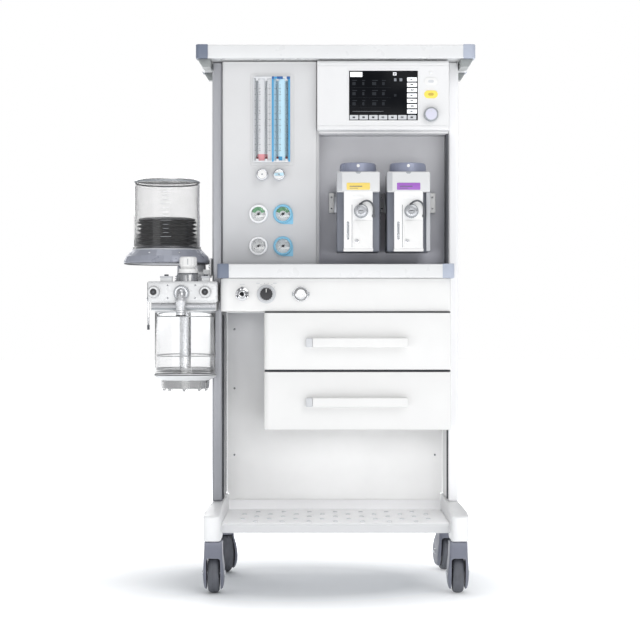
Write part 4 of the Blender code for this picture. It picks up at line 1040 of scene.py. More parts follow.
def worktop_shell():
    """The worktop: a raised rail along its front and ends, a textured surface and blue-grey corner guards."""
    low, high = corners("worktop")
    narrow = corners("upper_housing")[1].x
    notch = corners("left_post")[0].y - 0.001
    radius = 0.010
    outline = [*arc((low.x + radius, low.y + radius), radius, 180, 270, 8),
               *arc((high.x - radius, low.y + radius), radius, 270, 360, 8), (high.x, notch), (narrow, notch),
               (narrow, high.y), (-narrow, high.y), (-narrow, notch), (low.x, notch),]
    slab = prism(plan_outline(outline), low.z, high.z, 0.0035, "z", 4, 0.002)
    recess = brick(at(low.x + 0.012, low.y + 0.014, high.z - 0.006),
                   at(high.x - 0.012, high.y - 0.012, high.z + 0.01), 0.003, 3)
    mat = brick(at(low.x + 0.016, low.y + 0.018, high.z - 0.0065), at(high.x - 0.016, 0.148, high.z - 0.0048),
                0.0006, 2)
    parts = [(carve(slab, recess), RAIL_WHITE), (mat, PALE_GREY)]
    piece("worktop_shell", parts, "trolley", ("worktop",))
    guards = []
    # Left guards get the painted shade, right ones the painted light.
    for side, look in ((-1, BLUE_GREY_SHADED), (1, BLUE_GREY_LIT)):
        guard = corner_guard(high.x - 0.0285, high.x + 0.0012, low.y - 0.0012, low.y + 0.052, low.z - 0.0006,
                             high.z + 0.0010, side, -1, 0.0135, 0.011)
        guards.append((guard, look))
    piece("worktop_guards", guards, "trolley")


def middle_section():
    for level in ("upper", "lower"):
        drawer_shell(level)
        drawer_pull(level)
    drawer_seams()
    control_case()
    control_details()
    outlet()
    selector()
    flush()
    worktop_shell()


middle_section()


# ---------------------------------------------------------------- flow panel, gauges and flowmeters

PANEL_Y = 0.150
HOUSING_Y = 0.1597
GASES = ("oxygen", "air")
NEEDLE_NAMES = (("pipeline_oxygen", "pipeline_air"), ("cylinder_oxygen", "cylinder_air"))
GAUGE_RING = finish("gauge_ring_white", (0.88, 0.885, 0.90), 0.35, grain=1800, relief=0.12, mottle=0.012)
GAUGE_BLUE = finish("gauge_bezel_blue", (0.22, 0.52, 0.72), 0.38, grain=1800, relief=0.15, mottle=0.05)
GAUGE_FACE = finish("gauge_face_white", (0.90, 0.905, 0.91), 0.5, grain=2600, relief=0.05, mottle=0.01)
GAUGE_GREEN = finish("gauge_band_green", (0.20, 0.52, 0.26), 0.5, grain=2600, relief=0.05, mottle=0.03)
GAUGE_GREY = finish("gauge_face_grey", (0.62, 0.64, 0.67), 0.5, grain=2600, relief=0.05, mottle=0.02)
# The flow panel's grey is darker towards the bottom: painted shade.
FLOW_PAINT = finish("flow_panel_grey", (0.62, 0.62, 0.625), 0.45, grain=2600, relief=0.16, mottle=0.015,
                    fade=("Z", 0.86, 1.12, (0.50, 0.505, 0.52)))
PRINT = finish("printed_marks", (0.10, 0.11, 0.14), 0.55, grain=2600, relief=0.05, mottle=0.1)
CARD_GREY = finish("flow_card_grey", (0.66, 0.67, 0.69), 0.42, grain=1900, relief=0.06, mottle=0.02)
CARD_BLUE = finish("flow_card_blue", (0.50, 0.72, 0.84), 0.42, grain=1900, relief=0.06, mottle=0.03)
TRIM_BLUE = finish("flow_trim_blue", (0.05, 0.30, 0.55), 0.40, grain=1900, relief=0.08, mottle=0.04)
TRIM_DARK_BLUE = finish("flow_trim_dark_blue", (0.02, 0.10, 0.30), 0.40, grain=1900, relief=0.08, mottle=0.05)
PINK = finish("flow_band_pink", (0.72, 0.30, 0.33), 0.45, grain=1900, relief=0.06, mottle=0.04)
FLOAT_RED = finish("float_dark_red", (0.22, 0.015, 0.02), 0.30, grain=1900, relief=0.08, mottle=0.1)
GLASS = clear("lens_clear", (0.985, 0.99, 0.99), 0.02)
TUBE_GLASS = clear("tube_clear", (0.96, 0.975, 0.985), 0.03)


def front_plate(outline, y_front, y_back, rim=0.001, steps=3):
    """An outline in (x, z) of the trolley, thickened along y, with its rounded rim to the front."""
    shift = at(0, 0, 0)
    points = [(shift.x + x, shift.z + z) for x, z in outline]
    return prism(points, shift.y + y_front, shift.y + y_back, 0, "y", steps, rim)


def gauge(row, column):
    """A pressure gauge: bezel, dial face with a scale, and a domed lens; the needle is its own piece."""
    needle = f"gauge_needle_{NEEDLE_NAMES[row][column]}"
    joint = next(j for j in frame["joints"] if j["child"] == needle)
    centre = Vector(joint["pos_m"]) - at(0, 0, 0)
    x, z = centre.x, centre.z
    panel = PANEL_Y
    parts = []
    ring_look = GAUGE_RING if column == 0 else GAUGE_BLUE
    bezel = [(0.0187, 0.0), (0.0187, 0.0098), (0.0196, 0.0106), (0.0212, 0.0106), (0.0226, 0.0098),
             (0.0236, 0.0080), (0.0240, 0.0055), (0.0240, 0.0)]
    parts.append((lathe(bezel, at(x, panel, z), FRONT, 72, ring=True), ring_look))
    if column:
        square = [(x, z - 0.0262), (x + 0.0262, z - 0.0262), (x + 0.0262, z),
                  *arc((x, z), 0.0252, 0, 270, 28)[1:]]
        parts.append((front_plate(soften(square, 0.0020, 3), panel - 0.0012, panel + 0.0005, 0.0008),
                      GAUGE_BLUE))
    parts.append((disc(at(x, panel, z), 0.0187, 0.0014, FRONT, 0.0002, 48), GAUGE_FACE))
    low_angle, sweep = -132, 264
    if row == 0:
        half = [*arc((x, z), 0.0178, 18, 162, 24), *arc((x, z), 0.0085, 162, 18, 24)]
        parts.append((front_plate(half, panel - 0.00165, panel - 0.0013, 0), GAUGE_GREEN))
    else:
        band = [*arc((x, z), 0.0180, -42, 48, 16), *arc((x, z), 0.0160, 48, -42, 16)]
        parts.append((front_plate(band, panel - 0.00165, panel - 0.0013, 0), GAUGE_GREY))
    for tick in range(25):
        angle = radians(90 - low_angle - sweep * tick / 24)
        length = 0.0030 if tick % 4 == 0 else 0.0016
        direction = Vector((cos(angle), 0, sin(angle)))
        across = Vector((-sin(angle), 0, cos(angle)))
        outer, inner = direction * 0.0172, direction * (0.0172 - length)
        half = across * (0.00026 if tick % 4 == 0 else 0.00014)
        ends = [inner - half, inner + half, outer + half, outer - half]
        outline = [(x + p.x, z + p.z) for p in ends]
        parts.append((front_plate(outline, panel - 0.0019, panel - 0.0016, 0), PRINT))
    for number in range(0, 7, 2):
        angle = radians(90 - low_angle - sweep * number / 6)
        spot = at(x + 0.0112 * cos(angle), panel - 0.0018, z + 0.0112 * sin(angle))
        parts.append((numeral(str(number), 0.0038, spot), PRINT))
    parts.append((disc(at(x, panel, z), 0.0034, 0.0030, FRONT, 0.0004, 20), BLACK))
    piece(f"gauge_{row}_{column}", parts, "trolley")
    dome = []
    for step in range(9):
        angle = step / 8 * 0.32
        dome.append((0.0186 * sin(angle) / sin(0.32),
                     0.0083 + 0.0022 * (cos(angle) - cos(0.32)) / (1 - cos(0.32))))
    lens = [*dome, *[(radius, height - 0.0007) for radius, height in reversed(dome)]]
    piece(f"gauge_lens_{row}_{column}", [(lathe(lens, at(x, panel, z), FRONT, 56), GLASS)], "trolley")
    hub = [(0, 0.0072), (0.0016, 0.0071), (0.0026, 0.0064), (0.0028, 0.0040), (0, 0.0040)]
    pointer = []
    rest = Vector(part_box(needle)[0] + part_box(needle)[1]) / 2 - at(0, 0, 0)
    away = Vector((rest.x - x, 0, rest.z - z)).normalized()
    across = Vector((-away.z, 0, away.x))
    for reach, half in ((-0.0055, 0.0014), (-0.0020, 0.0010), (0.0040, 0.0008), (0.0135, 0.00022)):
        pointer.append((reach, half))
    outline = [away * r + across * h for r, h in pointer] + [away * r - across * h for r,
                                                             h in reversed(pointer)]
    outline = [(x + p.x, z + p.z) for p in outline]
    needle_parts = [(front_plate(outline, panel - 0.0055, panel - 0.0047, 0.0002), BLACK),
                    (lathe(hub, at(x, panel, z), FRONT, 28), BLACK)]
    piece(f"needle_{row}_{column}", needle_parts, needle, (needle,))


def flow_fascia():
    """The painted panel round the gauges and flowmeters, with a rounded left edge, a raised surround for the
    flow window and collars for the valve knobs.
    """
    low, high = corners("flow_panel")
    panel = PANEL_Y
    edge = corners("monitor_fascia")[0].x - 0.002
    plan = [*arc((low.x + 0.006, panel + 0.006), 0.006, 180, 270, 8), (edge - 0.001, panel),
            (edge, panel + 0.001), (edge, HOUSING_Y), (high.x, HOUSING_Y), (high.x, high.y), (low.x, high.y)]
    plate = prism(plan_outline(plan), low.z, high.z, 0.0012, "z")
    parts = [(plate, FLOW_PAINT)]
    window_low, window_high = corners("flow_tube_block")
    surround = front_plate(rectangle((window_low.x - 0.0075, window_low.z - 0.008),
                                     (window_high.x + 0.0075, window_high.z + 0.008), 0.005, 5),
                           panel - 0.0018, panel + 0.0005, 0.0012)
    parts.append((surround, FLOW_PAINT))
    for knob in GASES:
        box_low, box_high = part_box(f"flow_knob_{knob}")
        middle = (box_low + box_high) / 2 - at(0, 0, 0)
        collar = [(0.0040, 0.0), (0.0040, 0.0006), (0.0170, 0.0006), (0.0176, 0.0)]
        parts.append((lathe(collar, at(middle.x, panel, middle.z), FRONT, 40, ring=True), PALE_GREY))
    piece("flow_fascia", parts, "trolley", ("flow_panel",))


def tick_column(x0, x1, z0, z1, y, pitch, every):
    """Fine printed lines one above another, a wider one every so often."""
    parts = []
    count = int((z1 - z0) / pitch)
    for step in range(count + 1):
        z = z0 + step * pitch
        wide = step % every == 0
        middle, half = (x0 + x1) / 2, (x1 - x0) / 2 * (1.0 if wide else 0.55)
        thick = 0.0005 if wide else 0.00022
        parts.append((brick(at(middle - half, y - 0.00025, z - thick), at(middle + half, y, z + thick), 0),
                      PRINT))
    return parts


FLOATS = [corners(f"flow_float_{gas}") for gas in GASES]
TUBE_Y = (FLOATS[0][0].y + FLOATS[0][1].y) / 2
FLOAT_Z = (FLOATS[0][0].z + FLOATS[0][1].z) / 2
TUBE_MIDDLES = [(low.x + high.x) / 2 for low, high in FLOATS]
TUBE_PITCH = 0.023
TUBE_X = (TUBE_MIDDLES[0] - TUBE_PITCH, TUBE_MIDDLES[0], TUBE_MIDDLES[1] - TUBE_PITCH, TUBE_MIDDLES[1])
BOB_PROFILE = [(0, 0), (0.0029, 0.0042), (0.0029, 0.0058), (0.0016, 0.0070), (0, 0.0074)]


def flow_tubes():
    """Two cards behind four glass tubes, in an open-fronted case with blue trim on the second gas."""
    low, high = corners("flow_tube_block")
    middle = (low.x + high.x) / 2
    back = high.y
    shell = brick(at(low.x, low.y + 0.0015, low.z), at(high.x, high.y, high.z), 0.0018, 3)
    room_left = brick(at(low.x + 0.002, low.y - 0.01, low.z + 0.004),
                      at(middle - 0.0005, back - 0.004, high.z - 0.0045), 0.001, 2)
    room_right = brick(at(middle + 0.0005, low.y - 0.01, low.z + 0.004),
                       at(high.x - 0.002, back - 0.004, high.z - 0.0045), 0.001, 2)
    parts = [(carve(shell, room_left, room_right), CARD_GREY)]
    face = back - 0.0041
    parts.append((brick(at(low.x + 0.0025, face - 0.0004, low.z + 0.0045),
                        at(middle - 0.001, face + 0.0001, high.z - 0.005), 0), CARD_GREY))
    parts.append((brick(at(middle + 0.001, face - 0.0004, low.z + 0.0045),
                        at(high.x - 0.0025, face + 0.0001, high.z - 0.005), 0), CARD_BLUE))
    for x0, x1 in ((middle + 0.0002, middle + 0.0050), (high.x - 0.0048, high.x - 0.0003)):
        parts.append((brick(at(x0, low.y + 0.0008, low.z + 0.001), at(x1, low.y + 0.004, high.z - 0.001),
                            0.0006, 2), TRIM_BLUE))
    for x0, x1 in ((middle + 0.0002, middle + 0.0060), (middle + 0.0135, middle + 0.0285),
                   (high.x - 0.0090, high.x - 0.0003)):
        parts.append((brick(at(x0, low.y + 0.0004, high.z - 0.0068), at(x1, low.y + 0.004, high.z - 0.0002),
                            0.0005, 2), TRIM_DARK_BLUE))
    parts.append((brick(at(middle + 0.0062, low.y + 0.0006, high.z - 0.0062),
                        at(middle + 0.0133, low.y + 0.0035, high.z - 0.0008), 0.0004, 2), TRIM_BLUE))
    card = face - 0.0004
    for x0, x1 in ((low.x + 0.0035, low.x + 0.0065), (low.x + 0.0145, low.x + 0.0185),
                   (middle - 0.0085, middle - 0.0035)):
        parts += tick_column(x0, x1, low.z + 0.030, high.z - 0.020, card, 0.0032, 5)
    for x0, x1 in ((middle + 0.0070, middle + 0.0120), (middle + 0.0190, middle + 0.0240),
                   (high.x - 0.0100, high.x - 0.0060)):
        parts += tick_column(x0, x1, low.z + 0.030, high.z - 0.020, card, 0.0032, 5)
    parts.append((brick(at(low.x + 0.0105, card - 0.0003, low.z + 0.004),
                        at(middle - 0.0100, card, low.z + 0.021), 0), PINK))
    parts.append((brick(at(middle + 0.0160, card - 0.0003, low.z + 0.004),
                        at(middle + 0.0270, card, low.z + 0.015), 0), TRIM_BLUE))
    for index, z in enumerate((low.z + 0.030, low.z + 0.078, low.z + 0.126, low.z + 0.174)):
        for x in (low.x + 0.0165, middle + 0.0215):
            parts.append((numeral(str(2 * index + 1), 0.0062, at(x, card - 0.0002, z + 0.0055)), PRINT))
    for x in TUBE_X:
        for z0, z1 in ((low.z + 0.0035, low.z + 0.0085), (high.z - 0.011, high.z - 0.0040)):
            parts.append((lathe([(0, z0 - low.z), (0.0040, z0 - low.z), (0.0040, z1 - low.z),
                                 (0, z1 - low.z)], at(x, TUBE_Y, low.z), UP, 24), CARD_GREY))
    for x in (TUBE_X[0], TUBE_X[2]):
        parts.append((lathe(BOB_PROFILE, at(x, TUBE_Y, FLOAT_Z - 0.0035), UP, 24), FLOAT_RED))
    piece("flow_case", parts, "trolley", ("flow_tube_block",))
    tubes = []
    for x in TUBE_X:
        wall = [(0.0033, low.z + 0.0085), (0.0037, low.z + 0.0085), (0.0037, high.z - 0.011),
                (0.0034, high.z - 0.011)]
        tubes.append((lathe(wall, at(x, TUBE_Y, 0), UP, 28, ring=True), TUBE_GLASS))
    piece("flow_tubes", tubes, "trolley")
    for gas in GASES:
        node = f"flow_float_{gas}"
        box_low, box_high = corners(node)
        spot = (box_low + box_high) / 2
        bob = lathe(BOB_PROFILE, at(spot.x, spot.y, box_low.z), UP, 24)
        piece(f"float_bob_{gas}", [(bob, FLOAT_RED)], node, (node,))


def flow_knobs():
    """Fluted needle-valve knobs; the second has a blue band."""
    for gas, band in (("oxygen", None), ("air", TRIM_BLUE)):
        node = f"flow_knob_{gas}"
        low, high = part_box(node)
        centre = back_middle(low, high)
        radius, depth = (high.x - low.x) / 2, high.y - low.y
        body = [(0, 0.0), (0.0062, 0.0), (0.0062, 0.0045), (radius - 0.0022, 0.0055),
                (radius - 0.0004, 0.0075), (radius, 0.0100), (radius, depth - 0.0030),
                (radius - 0.0008, depth - 0.0012), (radius - 0.0026, depth - 0.0002),
                (0.0050, depth - 0.0006), (0, depth - 0.0010)]
        parts = [(lathe(body, centre, FRONT, 120, flutes=20, flute_depth=0.0009,
                        flute_span=(0.0090, depth - 0.0025)), STEEL)]
        front = centre + FRONT * (depth - 0.0006)
        parts.append((disc(centre + FRONT * (depth - 0.0012), radius - 0.0034, 0.0010, FRONT, 0.0004, 40),
                      SHELL))
        parts.append((disc(front, 0.0022, 0.0005, FRONT, 0.0002, 20), MID_GREY))
        if band:
            half = sqrt(max(0.0, (radius - 0.0030) ** 2 - 0.0042**2))
            outline = [(-half, -0.0042), (half, -0.0042), (half + 0.0012, 0), (half, 0.0042), (-half, 0.0042),
                       (-half - 0.0012, 0)]
            shift = centre
            points = [(shift.x + u, shift.z + v) for u, v in outline]
            parts.append((prism(points, front.y - 0.0004, front.y + 0.0008, 0, "y"), CARD_BLUE))
        piece(f"valve_knob_{gas}", parts, node, (node,))


def flow_section():
    flow_fascia()
    for row in (0, 1):
        for column in (0, 1):
            gauge(row, column)
    flow_tubes()
    flow_knobs()


flow_section()


# ---------------------------------------------------------------- monitor and top tray

SCREEN_BLACK = glowing(finish("screen_black", (0.004, 0.0045, 0.006), 0.22, grain=300, relief=0.01,
                              mottle=0.1, Specular_IOR_Level=0.06), (0.02, 0.022, 0.028), 0.05)
SCREEN_WHITE = glowing(finish("screen_white", (0.80, 0.81, 0.83), 0.2, grain=300, relief=0.01, mottle=0.02),
                       (0.85, 0.88, 0.92), 0.35)
SCREEN_GREY = glowing(finish("screen_grey", (0.20, 0.21, 0.23), 0.22, grain=300, relief=0.01, mottle=0.03,
                             Specular_IOR_Level=0.06), (0.32, 0.35, 0.38), 0.10)
SCREEN_TAB = glowing(finish("screen_tab", (0.48, 0.49, 0.51), 0.25, grain=300, relief=0.01, mottle=0.03),
                     (0.6, 0.62, 0.66), 0.15)
SCREEN_DIM = glowing(finish("screen_dim", (0.022, 0.024, 0.028), 0.22, grain=300, relief=0.01, mottle=0.05,
                            Specular_IOR_Level=0.06), (0.09, 0.10, 0.12), 0.06)
LENS_WHITE = finish("lamp_lens", (0.80, 0.82, 0.84), 0.18, grain=1800, relief=0.05, mottle=0.02)
LAVENDER = finish("encoder_lavender", (0.58, 0.58, 0.68), 0.40, grain=1800, relief=0.15, mottle=0.03)
YELLOW_DEEP = finish("key_mark", (0.52, 0.38, 0.06), 0.45, grain=2200, relief=0.12, mottle=0.05)


def fascia():
    """The monitor's moulded front: two long grooves and a screen recess with a raised frame round it, on a case
    behind.
    """
    low, high = corners("monitor_fascia")
    screen_low, screen_high = corners("display_screen")
    shift = at(0, 0, 0)
    base, rear_y = low.z + 0.005, HOUSING_Y
    radius, small = 0.010, 0.006
    profile = [
        (rear_y, base), (rear_y, high.z), (low.y + radius, high.z),
        *arc((low.y + radius, high.z - radius), radius, 90, 180, 8)[1:-1], (low.y, high.z - radius),
        *arc((low.y + small, base + small), small, 180, 270, 6),
    ]
    points = [(shift.y + y, shift.z + z) for y, z in profile]
    body = prism(points, shift.x + low.x, shift.x + high.x, 0.0018, "x")
    cutters = [brick(at(screen_low.x - 0.0005, low.y - 0.01, screen_low.z - 0.0005),
                     at(screen_high.x + 0.0005, screen_high.y + 0.0006, screen_high.z + 0.0005), 0)]
    for z in (1.3350, 1.1815):
        cutters.append(brick(at(low.x - 0.01, low.y - 0.01, z - 0.0008),
                             at(high.x + 0.01, low.y + 0.0012, z + 0.0008), 0))
    case = brick(at(low.x + 0.0043, rear_y, low.z), at(high.x, high.y, high.z - 0.0005), 0.001, 2)
    parts = [(carve(body, *cutters), FASCIA_WHITE), (case, PANEL)]
    frame_out = rectangle((screen_low.x - 0.0055, screen_low.z - 0.0055),
                          (screen_high.x + 0.0055, screen_high.z + 0.0055), 0.004, 4)
    ring = front_plate(frame_out, low.y - 0.0010, low.y + 0.0015, 0.0008)
    hole = brick(at(screen_low.x - 0.0008, low.y - 0.01, screen_low.z - 0.0008),
                 at(screen_high.x + 0.0008, low.y + 0.01, screen_high.z + 0.0008), 0)
    parts.append((carve(ring, hole), FASCIA_WHITE))
    piece("fascia_shell", parts, "trolley", ("monitor_fascia",))


def screen():
    """The lit display: a header, a column of soft keys, faint readings and a row of tabs."""
    low, high = corners("display_screen")
    face = low.y
    parts = [(brick(at(low.x, face, low.z), at(high.x, high.y, high.z), 0.0004, 2), SCREEN_BLACK)]
    width, height = high.x - low.x, high.z - low.z

    def patch(x0, x1, z0, z1, look, round_by=0.0006):
        outline = rectangle((low.x + width * x0, high.z - height * z1),
                            (low.x + width * x1, high.z - height * z0), round_by, 3)
        parts.append((front_plate(outline, face - 0.0004, face + 0.0001, 0), look))

    patch(0.013, 0.192, 0.022, 0.122, SCREEN_WHITE)
    for row in range(7):
        top = 0.132 + row * 0.1085
        patch(0.846, 0.990, top, top + 0.082, SCREEN_WHITE, 0.001)
        patch(0.895, 0.925 + 0.01 * (row % 3), top + 0.026, top + 0.050, SCREEN_BLACK, 0)
    for tab in range(7):
        left = 0.008 + tab * 0.141
        patch(left, left + 0.126, 0.897, 0.988, SCREEN_TAB, 0.001)
        patch(left + 0.042, left + 0.078, 0.925, 0.958, SCREEN_DIM, 0)
    patch(0.640, 0.690, 0.030, 0.092, SCREEN_WHITE, 0.0004)
    patch(0.650, 0.680, 0.046, 0.078, SCREEN_BLACK, 0)
    patch(0.655, 0.690, 0.150, 0.210, SCREEN_GREY, 0.0004)
    patch(0.735, 0.775, 0.150, 0.210, SCREEN_GREY, 0.0004)
    patch(0.655, 0.690, 0.470, 0.520, SCREEN_DIM, 0.0004)
    patch(0.05, 0.50, 0.818, 0.824, SCREEN_GREY, 0)
    for row in range(3):
        top = 0.17 + row * 0.205
        patch(0.030, 0.610, top + 0.165, top + 0.1685, SCREEN_DIM, 0)
        for column, length in enumerate((0.070, 0.045, 0.085, 0.055)):
            start = 0.045 + column * 0.145
            patch(start, start + length, top + 0.015, top + 0.032, SCREEN_DIM, 0)
            patch(start, start + length * 0.7, top + 0.055, top + 0.120, SCREEN_DIM, 0.0004)
    piece("screen_face", parts, "trolley", ("display_screen",))


def monitor_controls():
    """A status lamp, an alarm key, the standby key and the push-turn encoder."""
    face = corners("monitor_fascia")[0].y
    key_x = (corners("alarm_key")[0].x + corners("alarm_key")[1].x) / 2
    lamp_z = corners("display_screen")[1].z - 0.005
    parts = [(lathe([(0.0020, 0.0), (0.0046, 0.0), (0.0046, 0.0008), (0.0036, 0.0014), (0.0020, 0.0012)],
                    at(key_x, face, lamp_z), FRONT, 32, ring=True), SHELL)]
    parts.append((disc(at(key_x, face, lamp_z), 0.0024, 0.0016, FRONT, 0.0008, 24), LENS_WHITE))
    piece("fascia_fittings", parts, "trolley")
    for node, look, mark in (("alarm_key", SHELL, PALE_GREY), ("standby_key", YELLOW, YELLOW_DEEP)):
        key_low, key_high = corners(node)
        middle = (key_low + key_high) / 2
        outline = oval((middle.x, middle.z), key_high.x - key_low.x, key_high.z - key_low.z, 12)
        cap = front_plate(outline, key_low.y, key_high.y, 0.0007, 4)
        marks = oval((middle.x, middle.z), (key_high.x - key_low.x) * 0.42, (key_high.z - key_low.z) * 0.36,
                     8)
        badge = front_plate(marks, key_low.y - 0.0002, key_low.y + 0.0004, 0)
        piece(node.replace("_key", "_button"), [(cap, look), (badge, mark)], node,
              (node,))
    knob_low, knob_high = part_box("encoder_knob")
    centre = back_middle(knob_low, knob_high)
    radius, depth = (knob_high.x - knob_low.x) / 2, knob_high.y - knob_low.y
    body = [(0, 0), (radius - 0.001, 0), (radius, 0.001), (radius, depth - 0.0042),
            (radius - 0.0012, depth - 0.0020), (radius - 0.0034, depth - 0.0004), (radius - 0.0052, depth),
            (radius - 0.0062, depth - 0.0008), (0.0060, depth - 0.0016), (0, depth - 0.0018)]
    span = (0.0009, depth - 0.0040)
    cap = disc(centre + FRONT * (depth - 0.0020), radius - 0.0042, 0.0024, FRONT, 0.0008, 48)
    dimple = disc(centre + FRONT * (depth + 0.0003) + Vector((0, 0, radius * 0.42)), 0.0016, 0.0004, FRONT,
                  0.0002, 16)
    piece("encoder_dial", [(lathe(body, centre, FRONT, 128, flutes=32, flute_depth=0.0006, flute_span=span),
                            MID_GREY), (cap, LAVENDER), (dimple, PALE_GREY)], "encoder_knob",
          ("encoder_knob",))


def tray_on_top():
    """The top tray: a raised rail on every side, a recessed floor with a mat, corner guards and brackets."""
    low, high = corners("top_tray")
    post = corners("left_post")
    base = 1.3523
    radius = 0.012
    outline = rectangle((low.x, low.y), (high.x, high.y), radius, 8)
    slab = prism(plan_outline(outline), base, high.z, 0.0045, "z", 4, 0.003)
    recess = brick(at(low.x + 0.015, low.y + 0.015, high.z - 0.0105),
                   at(high.x - 0.015, high.y - 0.015, high.z + 0.01), 0.003, 3)
    mat = brick(at(low.x + 0.020, low.y + 0.020, high.z - 0.0110),
                at(high.x - 0.020, high.y - 0.020, high.z - 0.0092), 0.0006, 2)
    parts = [(carve(slab, recess), RAIL_WHITE), (mat, PALE_GREY)]
    piece("tray_shell", parts, "trolley", ("top_tray",))
    guards = []
    # Left guards get the painted shade, right ones the painted light.
    for side, look in ((-1, BLUE_GREY_SHADED), (1, BLUE_GREY_LIT)):
        for end, y0, y1 in ((-1, low.y - 0.0012, low.y + 0.050), (1, high.y - 0.050, high.y + 0.0012)):
            guard = corner_guard(high.x - 0.030, high.x + 0.0012, y0, y1, base - 0.0004, high.z + 0.0010,
                                 side, end, 0.016, 0.013)
            guards.append((guard, look))
    piece("tray_guards", guards, "trolley")
    # The brackets' dark colour is partly painted shade.
    brackets = []
    for side in (-1, 1):
        inner, outer = abs(post[0].x) + 0.0012, high.x - 0.003
        profile = soften([(side * inner, base - 0.0005), (side * outer, base - 0.0005),
                          (side * (outer - 0.012), base - 0.0195), (side * inner, base - 0.0215)], 0.0012, 3)
        shift = at(0, 0, 0)
        points = [(shift.x + x, shift.z + z) for x, z in profile]
        for y0, y1 in ((low.y + 0.012, post[0].y + 0.026), (post[1].y - 0.026, high.y - 0.012)):
            brackets.append((prism(points, shift.y + y0, shift.y + y1, 0.0008, "y"), BRACKET))
    piece("tray_brackets", brackets, "trolley")


def monitor_section():
    fascia()
    screen()
    monitor_controls()
    tray_on_top()


monitor_section()


# ---------------------------------------------------------------- vaporizer bay

VAPOR_WHITE = finish("vaporizer_white", (0.80, 0.80, 0.80), 0.36, grain=1600, relief=0.12, mottle=0.015)
VAPOR_HEAD = finish("vaporizer_head_white", (0.60, 0.605, 0.61), 0.36, grain=1600, relief=0.12, mottle=0.015)
VAPOR_GREY = finish("vaporizer_side_grey", (0.135, 0.145, 0.175), 0.40, grain=1600, relief=0.16, mottle=0.05)
VAPOR_STRIP = finish("vaporizer_edge_grey", (0.42, 0.43, 0.45), 0.38, grain=1600, relief=0.12, mottle=0.03)
DIAL_GREY = finish("dial_blue_grey", (0.26, 0.28, 0.37), 0.34, 0.25, grain=1300, relief=0.16, mottle=0.05)
LABEL_YELLOW = finish("label_yellow", (0.74, 0.56, 0.13), 0.40, grain=2600, relief=0.05, mottle=0.02)
LABEL_PURPLE = finish("label_purple", (0.30, 0.10, 0.45), 0.40, grain=2600, relief=0.05, mottle=0.03)
PLUG_GREY = finish("filler_plug_metal", (0.42, 0.43, 0.45), 0.30, 0.7, grain=1400, relief=0.10, mottle=0.03)
STRAP = finish("strap_rubber", (0.085, 0.09, 0.10), 0.50, grain=1400, relief=0.25, mottle=0.08)
SIGHT_GLASS = clear("sight_glass", (0.93, 0.95, 0.97), 0.04)
# The bay's walls are darker towards the bottom: painted shade.
BAY_WALL = finish("bay_wall", (0.62, 0.62, 0.64), 0.48, 0.05, grain=900, relief=0.12, mottle=0.02,
                  fade=("Z", 0.84, 1.13, (0.56, 0.565, 0.62)))
# The bay's right side wall is painted near-black: painted shade.
BAY_SIDE_SHADE = finish("bay_side_wall_painted_shade", (0.075, 0.078, 0.09), 0.5, grain=900, relief=0.12, mottle=0.04)
BAR_GREY = finish("manifold_bar", (0.36, 0.37, 0.40), 0.32, 0.6, grain=1400, relief=0.10, mottle=0.03)


VAPOR_X = tuple((corners(f"vaporizer_dial_{side}")[0].x + corners(f"vaporizer_dial_{side}")[1].x) / 2
                for side in ("left", "right"))


def manifold():
    """The bar that holds the vaporizers: a machined rail with tabs between and beside them."""
    low, high = corners("vaporizer_bar")
    parts = [(brick(at(low.x, low.y + 0.004, low.z), at(high.x, high.y, high.z), 0.002, 3), BAR_GREY)]
    # The middle tab, between the vaporizers, is grey and the end tabs white: painted shade on the middle one.
    for x0, x1, look in ((low.x, low.x + 0.014, SHELL), (0.1135, 0.1275, VAPOR_STRIP),
                         (high.x - 0.0165, high.x, SHELL)):
        parts.append((brick(at(x0, low.y, low.z + 0.0005), at(x1, low.y + 0.012, high.z - 0.0005), 0.0025, 3),
                      look))
        middle = (x0 + x1) / 2
        for z in (low.z + 0.012, high.z - 0.012):
            parts += screw(middle, low.y, z, FRONT, 0.0026)
    for x in VAPOR_X:
        for side in (-1, 1):
            parts.append((lathe([(0, 0), (0.0052, 0), (0.0052, 0.006), (0.0040, 0.008), (0, 0.008)],
                                at(x + side * 0.018, (low.y + high.y) / 2, high.z - 0.0008), UP, 28), STEEL))
    piece("manifold_bar", parts, "trolley", ("vaporizer_bar",))


